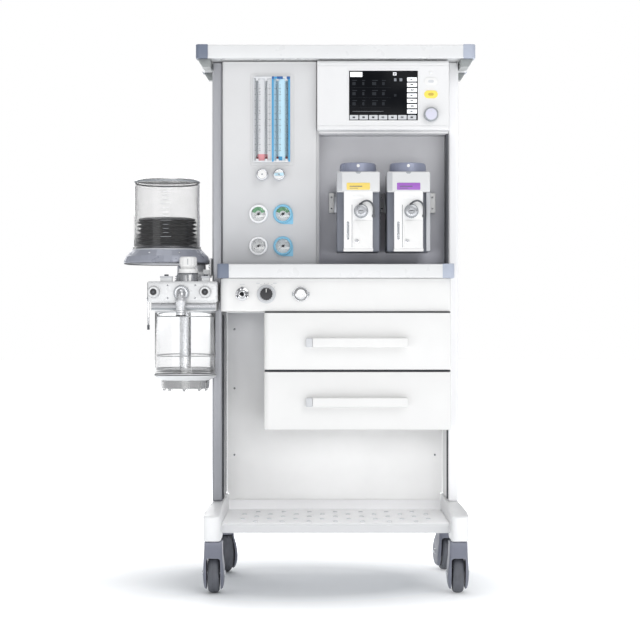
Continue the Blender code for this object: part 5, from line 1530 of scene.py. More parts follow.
def vaporizer(name, x, label, far_edge):
    """A vaporizer: head, narrow cover, sight slot, label, drain, dial, and a filler cap with its strap."""
    body_node, cap_node, dial_node = f"vaporizer_{name}", f"filler_cap_{name}", f"vaporizer_dial_{name}"
    low, high = corners(body_node)
    front, back = low.y, min(high.y, 0.199)
    head_base, cover_half = 1.008, 0.0365
    left, right = x - 0.0545, x + 0.0545
    deep = front + 0.016
    base = low.z
    head = brick(at(left, front, head_base), at(right, back, 1.0600), 0.004, 4)
    strip = brick(at(left - 0.0004, front - 0.0006, head_base + 0.002),
                  at(left + 0.0150, front + 0.03, 1.0585), 0.003, 4)
    body = brick(at(left, deep, base), at(right, back, head_base + 0.004), 0.004, 4)
    cover = front_plate(soften([(x - cover_half, base + 0.001), (x + cover_half, base + 0.001),
                                (x + cover_half, head_base + 0.003), (x - cover_half, head_base + 0.003)],
                               0.003, 3), front, deep + 0.002, 0.0022)
    slot_x, slot_z = x - cover_half + 0.0105, (0.888, 0.934)
    sight = front_plate(oval_up(slot_x, slot_z, 0.0062), front - 0.01, front + 0.006, 0)
    cover = carve(cover, sight)
    parts = [(head, VAPOR_HEAD), (strip, VAPOR_STRIP), (body, VAPOR_GREY), (cover, VAPOR_WHITE)]
    if far_edge:
        parts.append((brick(at(right - 0.0100, front + 0.004, base + 0.001),
                            at(right + 0.0002, deep + 0.01, head_base), 0.002, 3), VAPOR_STRIP))
    foot = brick(at(x - cover_half - 0.001, front - 0.0012, base),
                 at(x + cover_half + 0.001, deep, base + 0.008), 0.0018, 3)
    parts.append((foot, SHELL))
    parts.append((brick(at(x - cover_half + 0.0200, front - 0.0002, base + 0.010),
                        at(x - cover_half + 0.0212, front + 0.001, base + 0.118), 0.0002, 2), SEAM))
    drain = front_plate(rectangle((x - cover_half + 0.0245, base + 0.010),
                                  (x + cover_half - 0.001, base + 0.079), 0.004, 4), front - 0.0016,
                        front + 0.001, 0.0010)
    parts.append((drain, SHELL))
    parts.append((disc(at(x - 0.004, front - 0.0014, base + 0.0255), 0.0054, 0.0024, FRONT, 0.0006, 28),
                  STEEL))
    parts.append((brick(at(x - 0.0080, front - 0.0042, base + 0.0248), at(x, front - 0.0036, base + 0.0262),
                        0.0001, 1), SEAM))
    parts.append((front_plate(rectangle((x - 0.0295, 1.0135), (x + 0.0295, 1.0315), 0.0025, 4),
                              front - 0.0008, front + 0.0005, 0.0005), label))
    parts.append((brick(at(x - 0.022, front - 0.0010, 1.0215), at(x + 0.010, front - 0.0007, 1.0235), 0),
                  PRINT))
    parts.append((brick(at(x - 0.022, front - 0.0010, 1.0170), at(x - 0.001, front - 0.0007, 1.0182), 0),
                  PRINT))
    parts.append((front_plate(oval((x, 0.9955), 0.030, 0.0100, 10), front - 0.0010, front + 0.0005, 0.0008),
                  VAPOR_WHITE))
    notch = soften([(x - 0.008, 1.0590), (x + 0.008, 1.0590), (x + 0.0035, 1.0545), (x - 0.0035, 1.0545)],
                   0.001, 2)
    parts.append((front_plate(notch, front - 0.0008, front + 0.0005, 0.0003), MID_GREY))
    collar = [(0.0090, 1.0590), (0.0480, 1.0590), (0.0488, 1.0598), (0.0488, 1.0603), (0.0090, 1.0603)]
    dial_low, dial_high = corners(dial_node)
    middle_y = (dial_low.y + dial_high.y) / 2
    parts.append((lathe(collar, at(x, middle_y, 0), UP, 64, ring=True), VAPOR_STRIP))
    cap_low, cap_high = corners(cap_node)
    cap_x, cap_z = (cap_low.x + cap_high.x) / 2, (cap_low.z + cap_high.z) / 2
    collar_ring = []
    teeth = 22
    for step in range(teeth * 2):
        reach = 0.0186 if step % 2 else 0.0172
        angle = tau * step / (teeth * 2)
        collar_ring.append((cap_x + reach * cos(angle), cap_z + reach * sin(angle)))
    parts.append((front_plate(soften(collar_ring, 0.0005, 1), front - 0.0026, front + 0.0005, 0.0006),
                  MID_GREY))
    strap = [(cap_x - 0.0010, front - 0.0080, cap_z + 0.0185), (cap_x + 0.006, front - 0.0105,
                                                                cap_z + 0.0235), (cap_x + 0.016,
                                                                                  front - 0.0100,
                                                                                  cap_z + 0.0255),
             (cap_x + 0.027, front - 0.0060, cap_z + 0.019), (cap_x + 0.0325, front - 0.0030, cap_z + 0.004),
             (cap_x + 0.0315, front - 0.0010, cap_z - 0.012)]
    parts.append((pipe(smooth_path([at(*p) for p in strap], 7), 0.0024, 12), STRAP))
    parts.append((disc(at(cap_x + 0.0315, front + 0.0005, cap_z - 0.0125), 0.0044, 0.0030, FRONT, 0.0008, 24),
                  STRAP))
    anchor = brick(at(cap_x - 0.0045, front - 0.0100, cap_z + 0.0160),
                   at(cap_x + 0.0030, front - 0.0008, cap_z + 0.0205), 0.0015, 3)
    parts.append((anchor, STRAP))
    piece(f"vaporizer_case_{name}", parts, body_node, (body_node,))
    pane = front_plate(oval_up(slot_x, slot_z, 0.0060), front + 0.0012, front + 0.0040, 0.0005)
    piece(f"sight_pane_{name}", [(pane, SIGHT_GLASS)], body_node)

    radius = (dial_high.x - dial_low.x) / 2
    z0, z1 = dial_low.z, dial_high.z
    profile = [(0, z0), (radius - 0.0006, z0), (radius, z0 + 0.0008), (radius - 0.0004, z0 + 0.006),
               (radius - 0.0014, z1 - 0.0060), (radius - 0.0026, z1 - 0.0028), (radius - 0.0052, z1 - 0.0006),
               (radius - 0.010, z1), (radius - 0.014, z1 - 0.0008), (radius - 0.018, z1 - 0.0016),
               (0.012, z1 - 0.0016), (0.0105, z1 - 0.0004), (0, z1 - 0.0002)]
    dial = lathe(profile, at(x, middle_y, 0), UP, 180, flutes=60, flute_depth=0.0007,
                 flute_span=(z0 + 0.0030, z1 - 0.0050))
    dial_parts = [(dial, DIAL_GREY)]
    dot = disc(at(x, middle_y - radius + 0.0010, z0 + 0.0150), 0.0040, 0.0016, FRONT, 0.0004, 24)
    dial_parts.append((dot, SHELL))
    for number in range(6):
        angle = -90 + number * 50
        direction = Vector((cos(radians(angle)), sin(radians(angle)), 0))
        spot = at(x, middle_y, z1 - 0.0006) + direction * (radius - 0.0185)
        dial_parts.append((numeral(str(number), 0.0080, spot, UP, direction * -1), SHELL))
    piece(f"dial_cap_{name}", dial_parts, dial_node, (dial_node,))

    depth = cap_high.y - cap_low.y
    cap_radius = (cap_high.x - cap_low.x) / 2
    cap_centre = at(cap_x, cap_high.y, cap_z)
    cap_profile = [(0, 0), (cap_radius - 0.001, 0), (cap_radius - 0.0005, 0.001),
                   (cap_radius - 0.0008, depth - 0.0030), (cap_radius - 0.0020, depth - 0.0008),
                   (cap_radius - 0.0038, depth), (0.0075, depth - 0.0002), (0.0068, depth - 0.0012),
                   (0, depth - 0.0014)]
    cap = lathe(cap_profile, cap_centre, FRONT, 96, flutes=12, flute_depth=0.0012,
                flute_span=(0.0020, depth - 0.0025))
    slot = brick(cap_centre + Vector((-0.0055, -depth + 0.0011, -0.0009)),
                 cap_centre + Vector((0.0055, -depth + 0.0017, 0.0009)), 0.0002, 1)
    piece(f"filler_plug_{name}", [(cap, PLUG_GREY), (slot, SEAM)], cap_node, (cap_node,))


def oval_up(x, heights, width):
    """A stadium outline standing upright."""
    low, high = heights
    radius = width / 2
    return [*arc((x, high - radius), radius, 0, 180, 8), *arc((x, low + radius), radius, 180, 360, 8)]


def bay_lining():
    """Thin painted sheets over the bay's side walls, ceiling and floor."""
    low, high = corners("upper_housing")
    x0, x1 = low.x, corners("right_post")[0].x - 0.0003
    z0, z1 = corners("worktop")[1].z, high.z + 0.0006
    y0, y1 = 0.1605, low.y
    sheet = 0.0012
    edge_x = (x0 + sheet, x1 - 0.0070)
    # The right wall is near-black and a dark line runs down its front edge: painted shade; the other sheets
    # take the bay wall's paint, darker towards the bottom.
    parts = [(brick(at(x0, y0, z0 + 0.0004), at(x0 + sheet, y1 - 0.0002, z1 - 0.0008), 0.0004, 2), BAY_WALL),
             (brick(at(edge_x[1], y0, z0 + 0.0004), at(x1, y1 - 0.0002, z1 - 0.0008), 0.0006, 2), BAY_SIDE_SHADE),
             (brick(at(edge_x[1] - 0.0004, y0 - 0.0004, z0 + 0.0004),
                    at(x1 - 0.0030, y0 + 0.0004, z1 - 0.0008), 0.0002, 1), SEAM),
             (brick(at(edge_x[0], y0, z1 - 0.0022), at(edge_x[1], y1 - 0.0002, z1 - 0.0009), 0.0004, 2),
              BAY_WALL), (brick(at(edge_x[0], y0, z0 + 0.0003), at(edge_x[1], y1 - 0.0002, z0 + 0.0022),
                                0.0006, 2), BAY_WALL),]
    piece("bay_lining", parts, "trolley")


def bay():
    paint("upper_housing", BAY_WALL)
    bay_lining()
    manifold()
    vaporizer("left", VAPOR_X[0], LABEL_YELLOW, False)
    vaporizer("right", VAPOR_X[1], LABEL_PURPLE, True)


bay()


# ---------------------------------------------------------------- breathing system

BLOCK_PAINT = finish("block_enamel", (0.66, 0.665, 0.67), 0.30, 0.15, grain=1100, relief=0.10, mottle=0.02)
BASE_BLUE = finish("bellows_base_blue_grey", (0.33, 0.345, 0.40), 0.34, 0.25, grain=1300, relief=0.14,
                   mottle=0.03)
DOME_CLEAR = clear("dome_polycarbonate", (0.55, 0.55, 0.55), 0.04, 0.97)
CANISTER_CLEAR = clear("canister_clear", (0.88, 0.88, 0.88), 0.04, 0.993)
ELBOW_METAL = finish("elbow_plated", (0.52, 0.525, 0.54), 0.26, 0.75, grain=900, relief=0.06, mottle=0.02)
NECK_METAL = finish("neck_metal", (0.38, 0.385, 0.40), 0.30, 0.6, grain=1200, relief=0.10, mottle=0.04)
SCALE_PRINT = finish("dome_scale", (0.55, 0.57, 0.60), 0.5, grain=2400, relief=0.05, mottle=0.03)


BELLOWS_CENTRE = (-0.438, 0.220)
CANISTER_CENTRE = (-0.385, 0.134)
BAG_PORT_X, BAG_PORT_Z = -0.390, 0.753
HOSE_PORTS_X, HOSE_PORT_Z = (-0.460, -0.330), 0.756
VALVE_X, VALVE_Y = -0.375, 0.095


def block_details():
    """Port rings, cover plate, screws, bracket edges and the neck's index ring on the breathing block."""
    front = 0.060
    parts = []
    for x in HOSE_PORTS_X:
        ring = [(0.0088, 0.0186), (0.0105, 0.0196), (0.0122, 0.0190), (0.0126, 0.0150), (0.0140, 0.0030),
                (0.0155, 0.0008), (0.0155, -0.0005), (0.0088, -0.0005)]
        parts.append((lathe(ring, at(x, front, HOSE_PORT_Z), FRONT, 48, ring=True), BLOCK_PAINT))
        parts.append((disc(at(x, front, HOSE_PORT_Z), 0.0092, 0.0176, FRONT, 0.0003, 36), BLACK))
        parts.append((disc(at(x, front - 0.0172, HOSE_PORT_Z), 0.0030, 0.0012, FRONT, 0.0005, 20), DARK_GREY))
    plate = front_plate(rectangle((-0.4730, 0.7335), (-0.3015, 0.7795), 0.005, 4), front - 0.0016,
                        front + 0.001, 0.0010)
    holes = [disc(at(x, front + 0.01, HOSE_PORT_Z), 0.0160, 0.03, FRONT, 0, 40) for x in HOSE_PORTS_X]
    holes.append(disc(at(BAG_PORT_X, front + 0.01, BAG_PORT_Z), 0.0205, 0.03, FRONT, 0, 40))
    parts.append((carve(plate, *holes), BLOCK_PAINT))
    for x in (-0.425, -0.355):
        for z in (0.7405, 0.7725):
            parts += screw(x, front - 0.0016, z, FRONT, 0.0026)
    parts.append((brick(at(-0.4763, front + 0.001, 0.7325), at(-0.4745, 0.150, 0.7800), 0.0006, 2),
                  DARK_GREY))
    head_front = front + 0.004
    parts.append((brick(at(-0.4665, head_front - 0.0012, 0.7105), at(-0.3030, head_front + 0.001, 0.7155),
                        0.0008, 2), MID_GREY))
    parts.append((brick(at(-0.4660, head_front - 0.0006, 0.7160), at(-0.3035, head_front + 0.001, 0.7262),
                        0.0003, 2), NECK_METAL))
    parts.append((brick(at(-0.4665, head_front - 0.0008, 0.7268), at(-0.3030, head_front + 0.001, 0.7282),
                        0.0003, 2), SEAM))
    neck = (-0.372, 0.190)
    for z, radius in ((0.785, 0.0436), (0.7905, 0.0430), (0.7960, 0.0424)):
        band = [(radius - 0.004, z), (radius, z + 0.0006), (radius + 0.0004, z + 0.0018),
                (radius, z + 0.0030), (radius - 0.004, z + 0.0036)]
        parts.append((lathe(band, at(neck[0], neck[1], 0), UP, 64, ring=True), PALE_GREY))
    sleeve = [(0.0330, 0.7975), (0.0386, 0.7980), (0.0388, 0.8010), (0.0372, 0.8040), (0.0368, 0.8250),
              (0.0352, 0.8285), (0.0330, 0.8290)]
    parts.append((lathe(sleeve, at(neck[0], neck[1], 0), UP, 72, ring=True), NECK_METAL))
    seat = [(0.0205, 0.7830), (0.0252, 0.7832), (0.0252, 0.7990), (0.0246, 0.8004), (0.0205, 0.8004)]
    parts.append((lathe(seat, at(VALVE_X, VALVE_Y, 0), UP, 64, ring=True), NECK_METAL))
    band = [(0.0235, 0.8040), (0.0248, 0.8045), (0.0248, 0.8150), (0.0235, 0.8155), (0.0200, 0.8155),
            (0.0200, 0.8040)]
    parts.append((lathe(band, at(VALVE_X, VALVE_Y, 0), UP, 56, ring=True), SHELL))
    parts.append((lathe([(0.0200, 0.8008), (0.0256, 0.8010), (0.0256, 0.8036), (0.0200, 0.8038)],
                        at(VALVE_X, VALVE_Y, 0), UP, 56, ring=True), DARK_GREY))
    index = brick(at(-0.3800, 0.0700, 0.7830), at(-0.3660, 0.0725, 0.7985), 0.0008, 2)
    parts.append((index, SHELL))
    parts.append((disc(at(-0.3730, 0.0702, 0.7905), 0.0016, 0.0006, FRONT, 0.0002, 16), MID_GREY))
    for x, width in ((-0.430, 0.030), (-0.330, 0.020)):
        cap = brick(at(x - width / 2 - 0.001, 0.079, 0.7915), at(x + width / 2 + 0.001, 0.101, 0.7965),
                    0.0012, 3)
        parts.append((cap, PALE_GREY))
        parts.append((disc(at(x, 0.090, 0.7960), 0.0055, 0.0050, UP, 0.0010, 28), DARK_GREY))
    for y in (0.176, 0.214):
        parts += hex_bolt(at(-0.3242, y, 0.8225), LEFT, 0.0042, 0.0034)
    piece("block_fittings", parts, "trolley")
    paint("breathing_block", BLOCK_PAINT)


def bag_elbow():
    """The bag's elbow: a flanged boss on the block's front and a tapered, ringed tube that turns down."""
    x, z = BAG_PORT_X, BAG_PORT_Z
    face = 0.0597
    boss = [(0, 0.0), (0.0195, 0.0), (0.0198, 0.0012), (0.0196, 0.0110), (0.0186, 0.0128), (0.0168, 0.0134),
            (0.0160, 0.0150), (0, 0.0150)]
    rim = [(0.0150, 0.0128), (0.0182, 0.0132), (0.0184, 0.0142), (0.0174, 0.0150), (0.0150, 0.0148)]
    parts = [(lathe(boss, at(x, face, z), FRONT, 64), ELBOW_METAL),
             (lathe(rim, at(x, face, z), FRONT, 64, ring=True), MID_GREY)]
    bend_y = face - 0.0225
    bend = smooth_path([at(x, face - 0.008, z), at(x, face - 0.0155, z), at(x, bend_y + 0.0016, z - 0.0035),
                        at(x, bend_y, z - 0.0120), at(x, bend_y, z - 0.022)], 7)
    parts.append((pipe(bend, 0.0122, 32), ELBOW_METAL))
    spout = [(0.0090, 0.0015), (0.0105, 0.0), (0.0120, 0.0005), (0.0122, 0.0030), (0.0122, 0.0230),
             (0.0132, 0.0290), (0.0145, 0.0350), (0.0146, 0.0420), (0.0140, 0.0440), (0.0090, 0.0440)]
    parts.append((lathe(spout, at(x, bend_y, 0.695), UP, 48, ring=True), ELBOW_METAL))
    for height in (0.0070, 0.0120):
        barb = [(0.0118, height), (0.0128, height + 0.0008), (0.0118, height + 0.0030)]
        parts.append((lathe(barb, at(x, bend_y, 0.695), UP, 48, ring=True), ELBOW_METAL))
    parts.append((lathe([(0.0092, -0.0002), (0.0128, 0.0), (0.0131, 0.0012), (0.0128, 0.0026),
                         (0.0092, 0.0026)], at(x, bend_y, 0.695), UP, 48, ring=True), BLACK))
    piece("bag_elbow", parts, "trolley", ("bag_port",))


def bellows_housing():
    """The bellows' base ring and trims, the pleated bellows, and the plate on its disc."""
    x, y = BELLOWS_CENTRE
    paint("bellows_base", BASE_BLUE)
    trims = [(lathe([(0.0855, 0.8660), (0.0905, 0.8662), (0.0908, 0.8680), (0.0890, 0.8692),
                     (0.0885, 0.8692)], at(x, y, 0), UP, 96, ring=True), PALE_GREY)]
    for step in range(8):
        angle = tau * (step + 0.5) / 8
        spot = at(x + 0.1000 * cos(angle), y + 0.1000 * sin(angle), 0.8568)
        trims.append((disc(spot, 0.0030, 0.0024, UP, 0.0006, 20), STEEL))
    trims.append((lathe([(0.1060, 0.8290), (0.1115, 0.8300), (0.1120, 0.8316), (0.1060, 0.8316)], at(x, y, 0),
                        UP, 96, ring=True), DARK_GREY))
    foot = [(0, 0.8795), (0.0545, 0.8795), (0.0570, 0.8788), (0.0615, 0.8740), (0.0625, 0.8731), (0, 0.8731)]
    trims.append((lathe(foot, at(x, y, 0), UP, 96), FOOT_GREY))
    piece("base_trim", trims, "trolley")

    low, high = corners("bellows")
    pleats, outer, inner = 6, 0.0772, 0.0665
    pitch = (high.z - low.z - 0.001) / pleats
    profile = [(0, low.z), (0.0600, low.z), (0.0625, low.z + 0.0006)]
    for pleat in range(pleats):
        base = low.z + 0.0008 + pleat * pitch
        profile += [(inner, base + pitch * 0.10), (outer - 0.0022, base + pitch * 0.36),
                    (outer - 0.0004, base + pitch * 0.44), (outer, base + pitch * 0.54),
                    (outer - 0.0006, base + pitch * 0.64), (outer - 0.0030, base + pitch * 0.74),
                    (inner + 0.0006, base + pitch * 0.98)]
    profile += [(0.0625, high.z - 0.0003), (0, high.z - 0.0003)]
    built = piece("bellows_pleats", [(lathe(profile, at(x, y, 0), UP, 96), RUBBER)], None,
                  ("bellows",), angle=60)
    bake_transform(built)

    disc_low, disc_high = corners("bellows_disc")
    z0, z1 = disc_low.z, disc_high.z
    plate = [(0, z0), (0.0735, z0), (0.0742, z0 + 0.0012), (0.0738, z0 + 0.0030), (0.0700, z1 - 0.0012),
             (0.0660, z1), (0.0600, z1 - 0.0008), (0.0200, z1 - 0.0008), (0.0180, z1), (0, z1)]
    piece("bellows_plate", [(lathe(plate, at(x, y, 0), UP, 96), PALE_GREY)], "bellows_disc",
          ("bellows_disc",))


def dome():
    """The clear dome: a flanged skirt, a rounded shoulder, a vent boss and a faint printed scale."""
    x, y = BELLOWS_CENTRE
    low, high = corners("bellows_dome")
    outside, inside = 0.0857, 0.0814
    bottom, top = low.z, high.z
    profile = [(0.0040, top), (outside - 0.0100, top), (outside - 0.0056, top - 0.0008),
               (outside - 0.0022, top - 0.0034), (outside - 0.0004, top - 0.0074), (outside, top - 0.0110),
               (outside, bottom + 0.0070), (outside + 0.0022, bottom + 0.0062),
               (outside + 0.0026, bottom + 0.0050), (outside + 0.0026, bottom + 0.0005),
               (inside + 0.0003, bottom), (inside, top - 0.0110), (inside - 0.0012, top - 0.0064),
               (inside - 0.0036, top - 0.0040), (outside - 0.0120, top - 0.0026), (0.0040, top - 0.0026)]
    piece("dome_shell", [(lathe(profile, at(x, y, 0), UP, 128, ring=True), DOME_CLEAR)], "bellows_dome",
          ("bellows_dome",))
    marks = []
    reach = outside + 0.00002
    for step in range(13):
        height = bottom + 0.030 + step * 0.0105
        span = 9 if step % 4 == 0 else 4.5
        arc_points = arc((0, 0), reach, -88 - span, -88 + span, 6)
        path = [at(x + u, y + v, height) for u, v in arc_points]
        marks.append((pipe(path, 0.00035, 6), SCALE_PRINT))
    marks.append((lathe([(0.0042, top - 0.001), (0.0110, top - 0.001), (0.0110, top - 0.0002), (0.0100, top),
                         (0.0042, top)], at(x, y, 0), UP, 40, ring=True), PALE_GREY))
    marks.append((lathe([(outside - 0.0030, top - 0.0046), (outside - 0.0018, top - 0.0038),
                         (outside + 0.0004, top - 0.0072), (outside + 0.0004, top - 0.0084),
                         (outside - 0.0008, top - 0.0084)], at(x, y, 0), UP, 128, ring=True), MID_GREY))
    piece("dome_marks", marks, "bellows_dome", angle=60)


def pressure_valve():
    """The pressure-limiting valve's fluted knob with a numbered ring and a pointer."""
    low, high = corners("apl_knob")
    x, y = (low.x + high.x) / 2, (low.y + high.y) / 2
    radius = (high.x - low.x) / 2
    z0, z1 = low.z, high.z
    profile = [(0, z0), (radius - 0.0040, z0), (radius - 0.0030, z0 + 0.0055), (radius, z0 + 0.0080),
               (radius, z1 - 0.0070), (radius - 0.0008, z1 - 0.0030), (radius - 0.0030, z1 - 0.0006),
               (radius - 0.0060, z1), (0.0120, z1 - 0.0006), (0.0100, z1 - 0.0016), (0, z1 - 0.0018)]
    knob = lathe(profile, at(x, y, 0), UP, 120, flutes=15, flute_depth=0.0012,
                 flute_span=(z0 + 0.0078, z1 - 0.0065))
    parts = [(knob, SHELL)]
    for number in range(8):
        angle = -90 - number * 42
        direction = Vector((cos(radians(angle)), sin(radians(angle)), 0))
        spot = at(x, y, z1 - 0.0001) + direction * 0.0146
        parts.append((numeral(str(number * 10), 0.0034, spot, UP, direction * -1), PRINT))
    parts.append((brick(at(x - 0.0008, y - radius - 0.0002, z0 + 0.0100),
                        at(x + 0.0008, y - radius + 0.0010, z1 - 0.0060), 0.0002, 2), MID_GREY))
    piece("valve_cap", parts, "apl_knob", ("apl_knob",))


def canister():
    """The absorber canister: a clear wall round a middle tube, with rings, and a cone and cage below."""
    x, y = CANISTER_CENTRE
    low, high = corners("absorber_canister")
    base, top = low.z, high.z
    floor = base + 0.046
    radius = 0.0775
    wall = [(radius - 0.0030, top), (radius - 0.0004, top), (radius, top - 0.0010), (radius, floor),
            (radius - 0.0030, floor)]
    piece("canister_wall", [(lathe(wall, at(x, y, 0), UP, 128, ring=True), CANISTER_CLEAR)],
          "absorber_canister", ("absorber_canister",))
    tube = [(0.0116, top - 0.0004), (0.0145, top - 0.0004), (0.0145, floor), (0.0116, floor)]
    parts = [(lathe(tube, at(x, y, 0), UP, 48, ring=True), STEEL)]
    for height in (floor + 0.0110, floor + 0.0430, top - 0.0150):
        band = [(radius - 0.0075, height), (radius - 0.0033, height), (radius - 0.0033, height + 0.0022),
                (radius - 0.0075, height + 0.0022)]
        parts.append((lathe(band, at(x, y, 0), UP, 96, ring=True), PALE_GREY))
    for height in (floor + 0.004, floor + 0.0085):
        band = [(0.0150, height), (radius - 0.0036, height), (radius - 0.0036, height + 0.0012),
                (0.0150, height + 0.0012)]
        parts.append((lathe(band, at(x, y, 0), UP, 96, ring=True), PALE_GREY))
    cone = [(0.0116, floor), (radius - 0.0030, floor), (radius + 0.0006, floor - 0.0010),
            (radius + 0.0014, floor - 0.0030), (radius + 0.0014, floor - 0.0078),
            (radius - 0.0050, floor - 0.0125), (radius - 0.0118, floor - 0.0160),
            (radius - 0.0130, floor - 0.0175), (0.0116, floor - 0.0175)]
    parts.append((lathe(cone, at(x, y, 0), UP, 96, ring=True), FOOT_GREY))
    parts.append((lathe([(radius - 0.0020, floor - 0.0026), (radius + 0.0019, floor - 0.0030),
                         (radius + 0.0019, floor - 0.0050), (radius - 0.0020, floor - 0.0054)], at(x, y, 0),
                        UP, 96, ring=True), BLACK))
    gasket = [(radius - 0.0040, top - 0.0006), (radius + 0.0003, top - 0.0006),
              (radius + 0.0003, top - 0.0036), (radius - 0.0040, top - 0.0036)]
    parts.append((lathe(gasket, at(x, y, 0), UP, 96, ring=True), PALE_GREY))
    piece("canister_inside", parts, "absorber_canister")
    cage = [(0.0540, floor - 0.0172), (0.0625, floor - 0.0172), (0.0612, base + 0.0080),
            (0.0575, base + 0.0062), (0.0540, base + 0.0062)]
    teeth = [(lathe(cage, at(x, y, 0), UP, 96, ring=True), CANISTER_CLEAR)]
    for tooth in range(8):
        angle = tau * tooth / 8
        spot = at(x + 0.0535 * cos(angle), y + 0.0535 * sin(angle), base + 0.0002)
        profile = [(0, 0.0), (0.0026, 0.0), (0.0038, 0.0016), (0.0040, 0.0080), (0, 0.0080)]
        teeth.append((lathe(profile, spot, UP, 20), CANISTER_CLEAR))
    piece("canister_cage", teeth, "absorber_canister")


def lever():
    """The canister's release lever: a hub with a bolt and a flat arm that widens into a dark grip."""
    low, high = corners("canister_lever")
    y, z = CANISTER_CENTRE[1], 0.738
    shift = at(0, 0, 0)
    x0, x1 = low.x, high.x
    outline = soften([(-0.0048, 0.004), (0.0048, 0.004), (0.0036, -0.020), (0.0036, -0.062), (0.0046, -0.070),
                      (0.0044, -0.0775), (-0.0044, -0.0775), (-0.0046, -0.070), (-0.0036, -0.062),
                      (-0.0036, -0.020)], 0.0022, 4)
    points = [(shift.y + y + u, shift.z + z + v) for u, v in outline]
    middle = (x0 + x1) / 2
    parts = [(prism(points, shift.x + middle - 0.0022, shift.x + middle + 0.0022, 0.0010, "x"), STEEL)]
    grip = soften([(-0.0050, -0.0655), (0.0050, -0.0655), (0.0049, -0.0780), (-0.0049, -0.0780)], 0.0014, 3)
    points = [(shift.y + y + u, shift.z + z + v) for u, v in grip]
    parts.append((prism(points, shift.x + middle - 0.0030, shift.x + middle + 0.0030, 0.0010, "x"),
                  DARK_GREY))
    parts.append((lathe([(0, 0), (0.0086, 0), (0.0090, 0.0008), (0.0090, 0.0040), (0.0080, 0.0050),
                         (0, 0.0050)], at(x1, y, z), LEFT, 48), STEEL))
    parts += hex_bolt(at(x1 - 0.0050, y, z), LEFT, 0.0042, 0.0020)
    piece("release_lever", parts, "canister_lever", ("canister_lever",))


def breathing_system():
    block_details()
    bag_elbow()
    bellows_housing()
    dome()
    pressure_valve()
    canister()
    lever()


breathing_system()


# ---------------------------------------------------------------- back of the machine


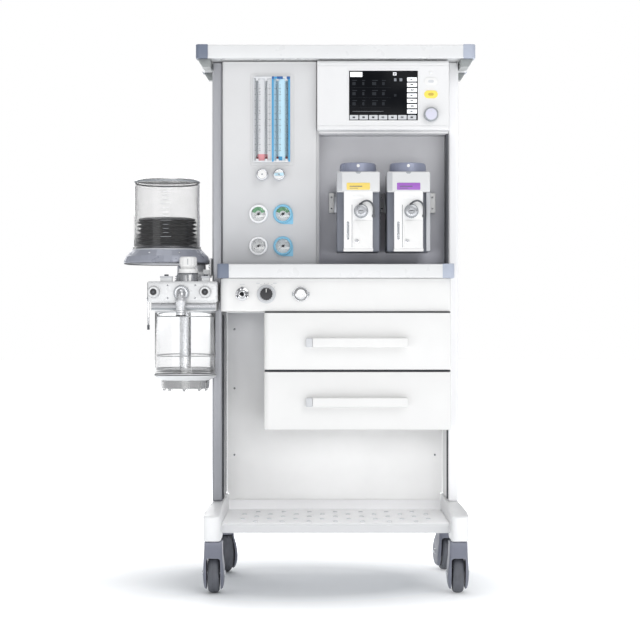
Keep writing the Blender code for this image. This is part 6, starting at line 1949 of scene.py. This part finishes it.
def rear():
    """The rear cover: vents, gas inlets, a power inlet, cable outlets and screws; slots low on the back."""
    low, high = corners("rear_cover")
    back = high.y
    paint("rear_cover", PANEL)
    parts = []
    for x in (low.x + 0.018, 0.0, high.x - 0.018):
        for z in (low.z + 0.020, high.z - 0.020):
            parts += screw(x, back, z, BACK, 0.0036)
    for column in range(2):
        for row in range(9):
            z = high.z - 0.070 - row * 0.0105
            x = -0.140 + column * 0.280
            slat = brick(at(x - 0.070, back - 0.0008, z - 0.0022), at(x + 0.070, back + 0.0010, z + 0.0022),
                         0.0010, 2)
            parts.append((slat, SEAM))
            lip = brick(at(x - 0.071, back - 0.0004, z + 0.0018), at(x + 0.071, back + 0.0030, z + 0.0036),
                        0.0008, 2)
            parts.append((lip, PANEL))
    for x, look in ((-0.190, SHELL), (-0.130, MID_GREY), (-0.070, TRIM_BLUE)):
        place = at(x, back, 0.930)
        collar = [(0.0070, 0.0), (0.0150, 0.0), (0.0150, 0.0030), (0.0120, 0.0040), (0.0110, 0.0085),
                  (0.0095, 0.0085), (0.0090, 0.0098), (0.0070, 0.0098)]
        parts.append((lathe(collar, place, BACK, 48, ring=True), CHROME))
        parts.append((disc(place, 0.0071, 0.0030, BACK, 0.0004, 32), BLACK))
        flange = [(0.0152, 0.0), (0.0200, 0.0), (0.0200, 0.0012), (0.0152, 0.0016)]
        parts.append((lathe(flange, place, BACK, 48, ring=True), look))
    inlet = brick(at(0.060, back - 0.001, 0.900), at(0.120, back + 0.0040, 0.945), 0.002, 3)
    socket = brick(at(0.068, back + 0.0010, 0.907), at(0.104, back + 0.02, 0.938), 0.003, 3)
    parts.append((carve(inlet, socket), BLACK))
    for x, z in ((0.078, 0.919), (0.086, 0.926), (0.094, 0.919)):
        parts.append((brick(at(x - 0.0010, back, z - 0.0022), at(x + 0.0010, back + 0.0032, z + 0.0022),
                            0.0003, 1), STEEL))
    parts.append((brick(at(0.1075, back + 0.0030, 0.912), at(0.1165, back + 0.0062, 0.933), 0.0015, 3),
                  DARK_GREY))
    for x in (0.165, 0.195, 0.225):
        parts.append((brick(at(x - 0.0105, back - 0.001, 0.912), at(x + 0.0105, back + 0.0020, 0.933), 0.0014,
                            2), MID_GREY))
        parts.append((brick(at(x - 0.0070, back + 0.0014, 0.916), at(x + 0.0070, back + 0.0023, 0.929),
                            0.0006, 2), SEAM))
    piece("rear_fittings", parts, "trolley")
    panel_low, panel_high = corners("lower_back_panel")
    slots = []
    for column in range(3):
        for row in range(7):
            x = -0.160 + column * 0.160
            z = 0.330 + row * 0.014
            slots.append((oval_prism(x, z, 0.090, 0.0050, panel_high.y - 0.0006, panel_high.y + 0.0008),
                          SEAM))
    for x in (panel_low.x + 0.020, panel_high.x - 0.020):
        for z in (0.320, 0.500, 0.660):
            slots += screw(x, panel_high.y, z, BACK, 0.0036)
            slots += screw(x, panel_low.y, z, FRONT, 0.0030)
    piece("back_panel_slots", slots, "trolley")


def oval_prism(x, z, width, height, y0, y1):
    shift = at(0, 0, 0)
    outline = [(shift.x + u, shift.z + v) for u, v in oval((x, z), width, height, 8)]
    return prism(outline, shift.y + y0, shift.y + y1, 0.0003, "y", 2)


rear()


# ---------------------------------------------------------------- lamps for the shade under the drawers


def add_linked_area(name, position, target, size, power, receivers):
    """A lamp that lights only these objects."""
    lamp = add_area(name, position, target, size, power)
    lit = bpy.data.collections.new(name)
    for receiver in receivers:
        lit.objects.link(receiver)
    lamp.light_linking.receiver_collection = lit


TRAY, BACK_PANEL = frame["nodes"]["base_tray"], frame["nodes"]["lower_back_panel"]
add_linked_area("tray_fill", at(0, -2.4, 1.75), at(0, 0.2, 0.17), (1.6, 0.5), 34,
                (TRAY, bpy.data.objects["tray_studs"]))
add_linked_area("panel_fill", at(0, -3.0, 0.9), at(0, 0.44, 0.40), (1.6, 0.5), 25, (BACK_PANEL,))
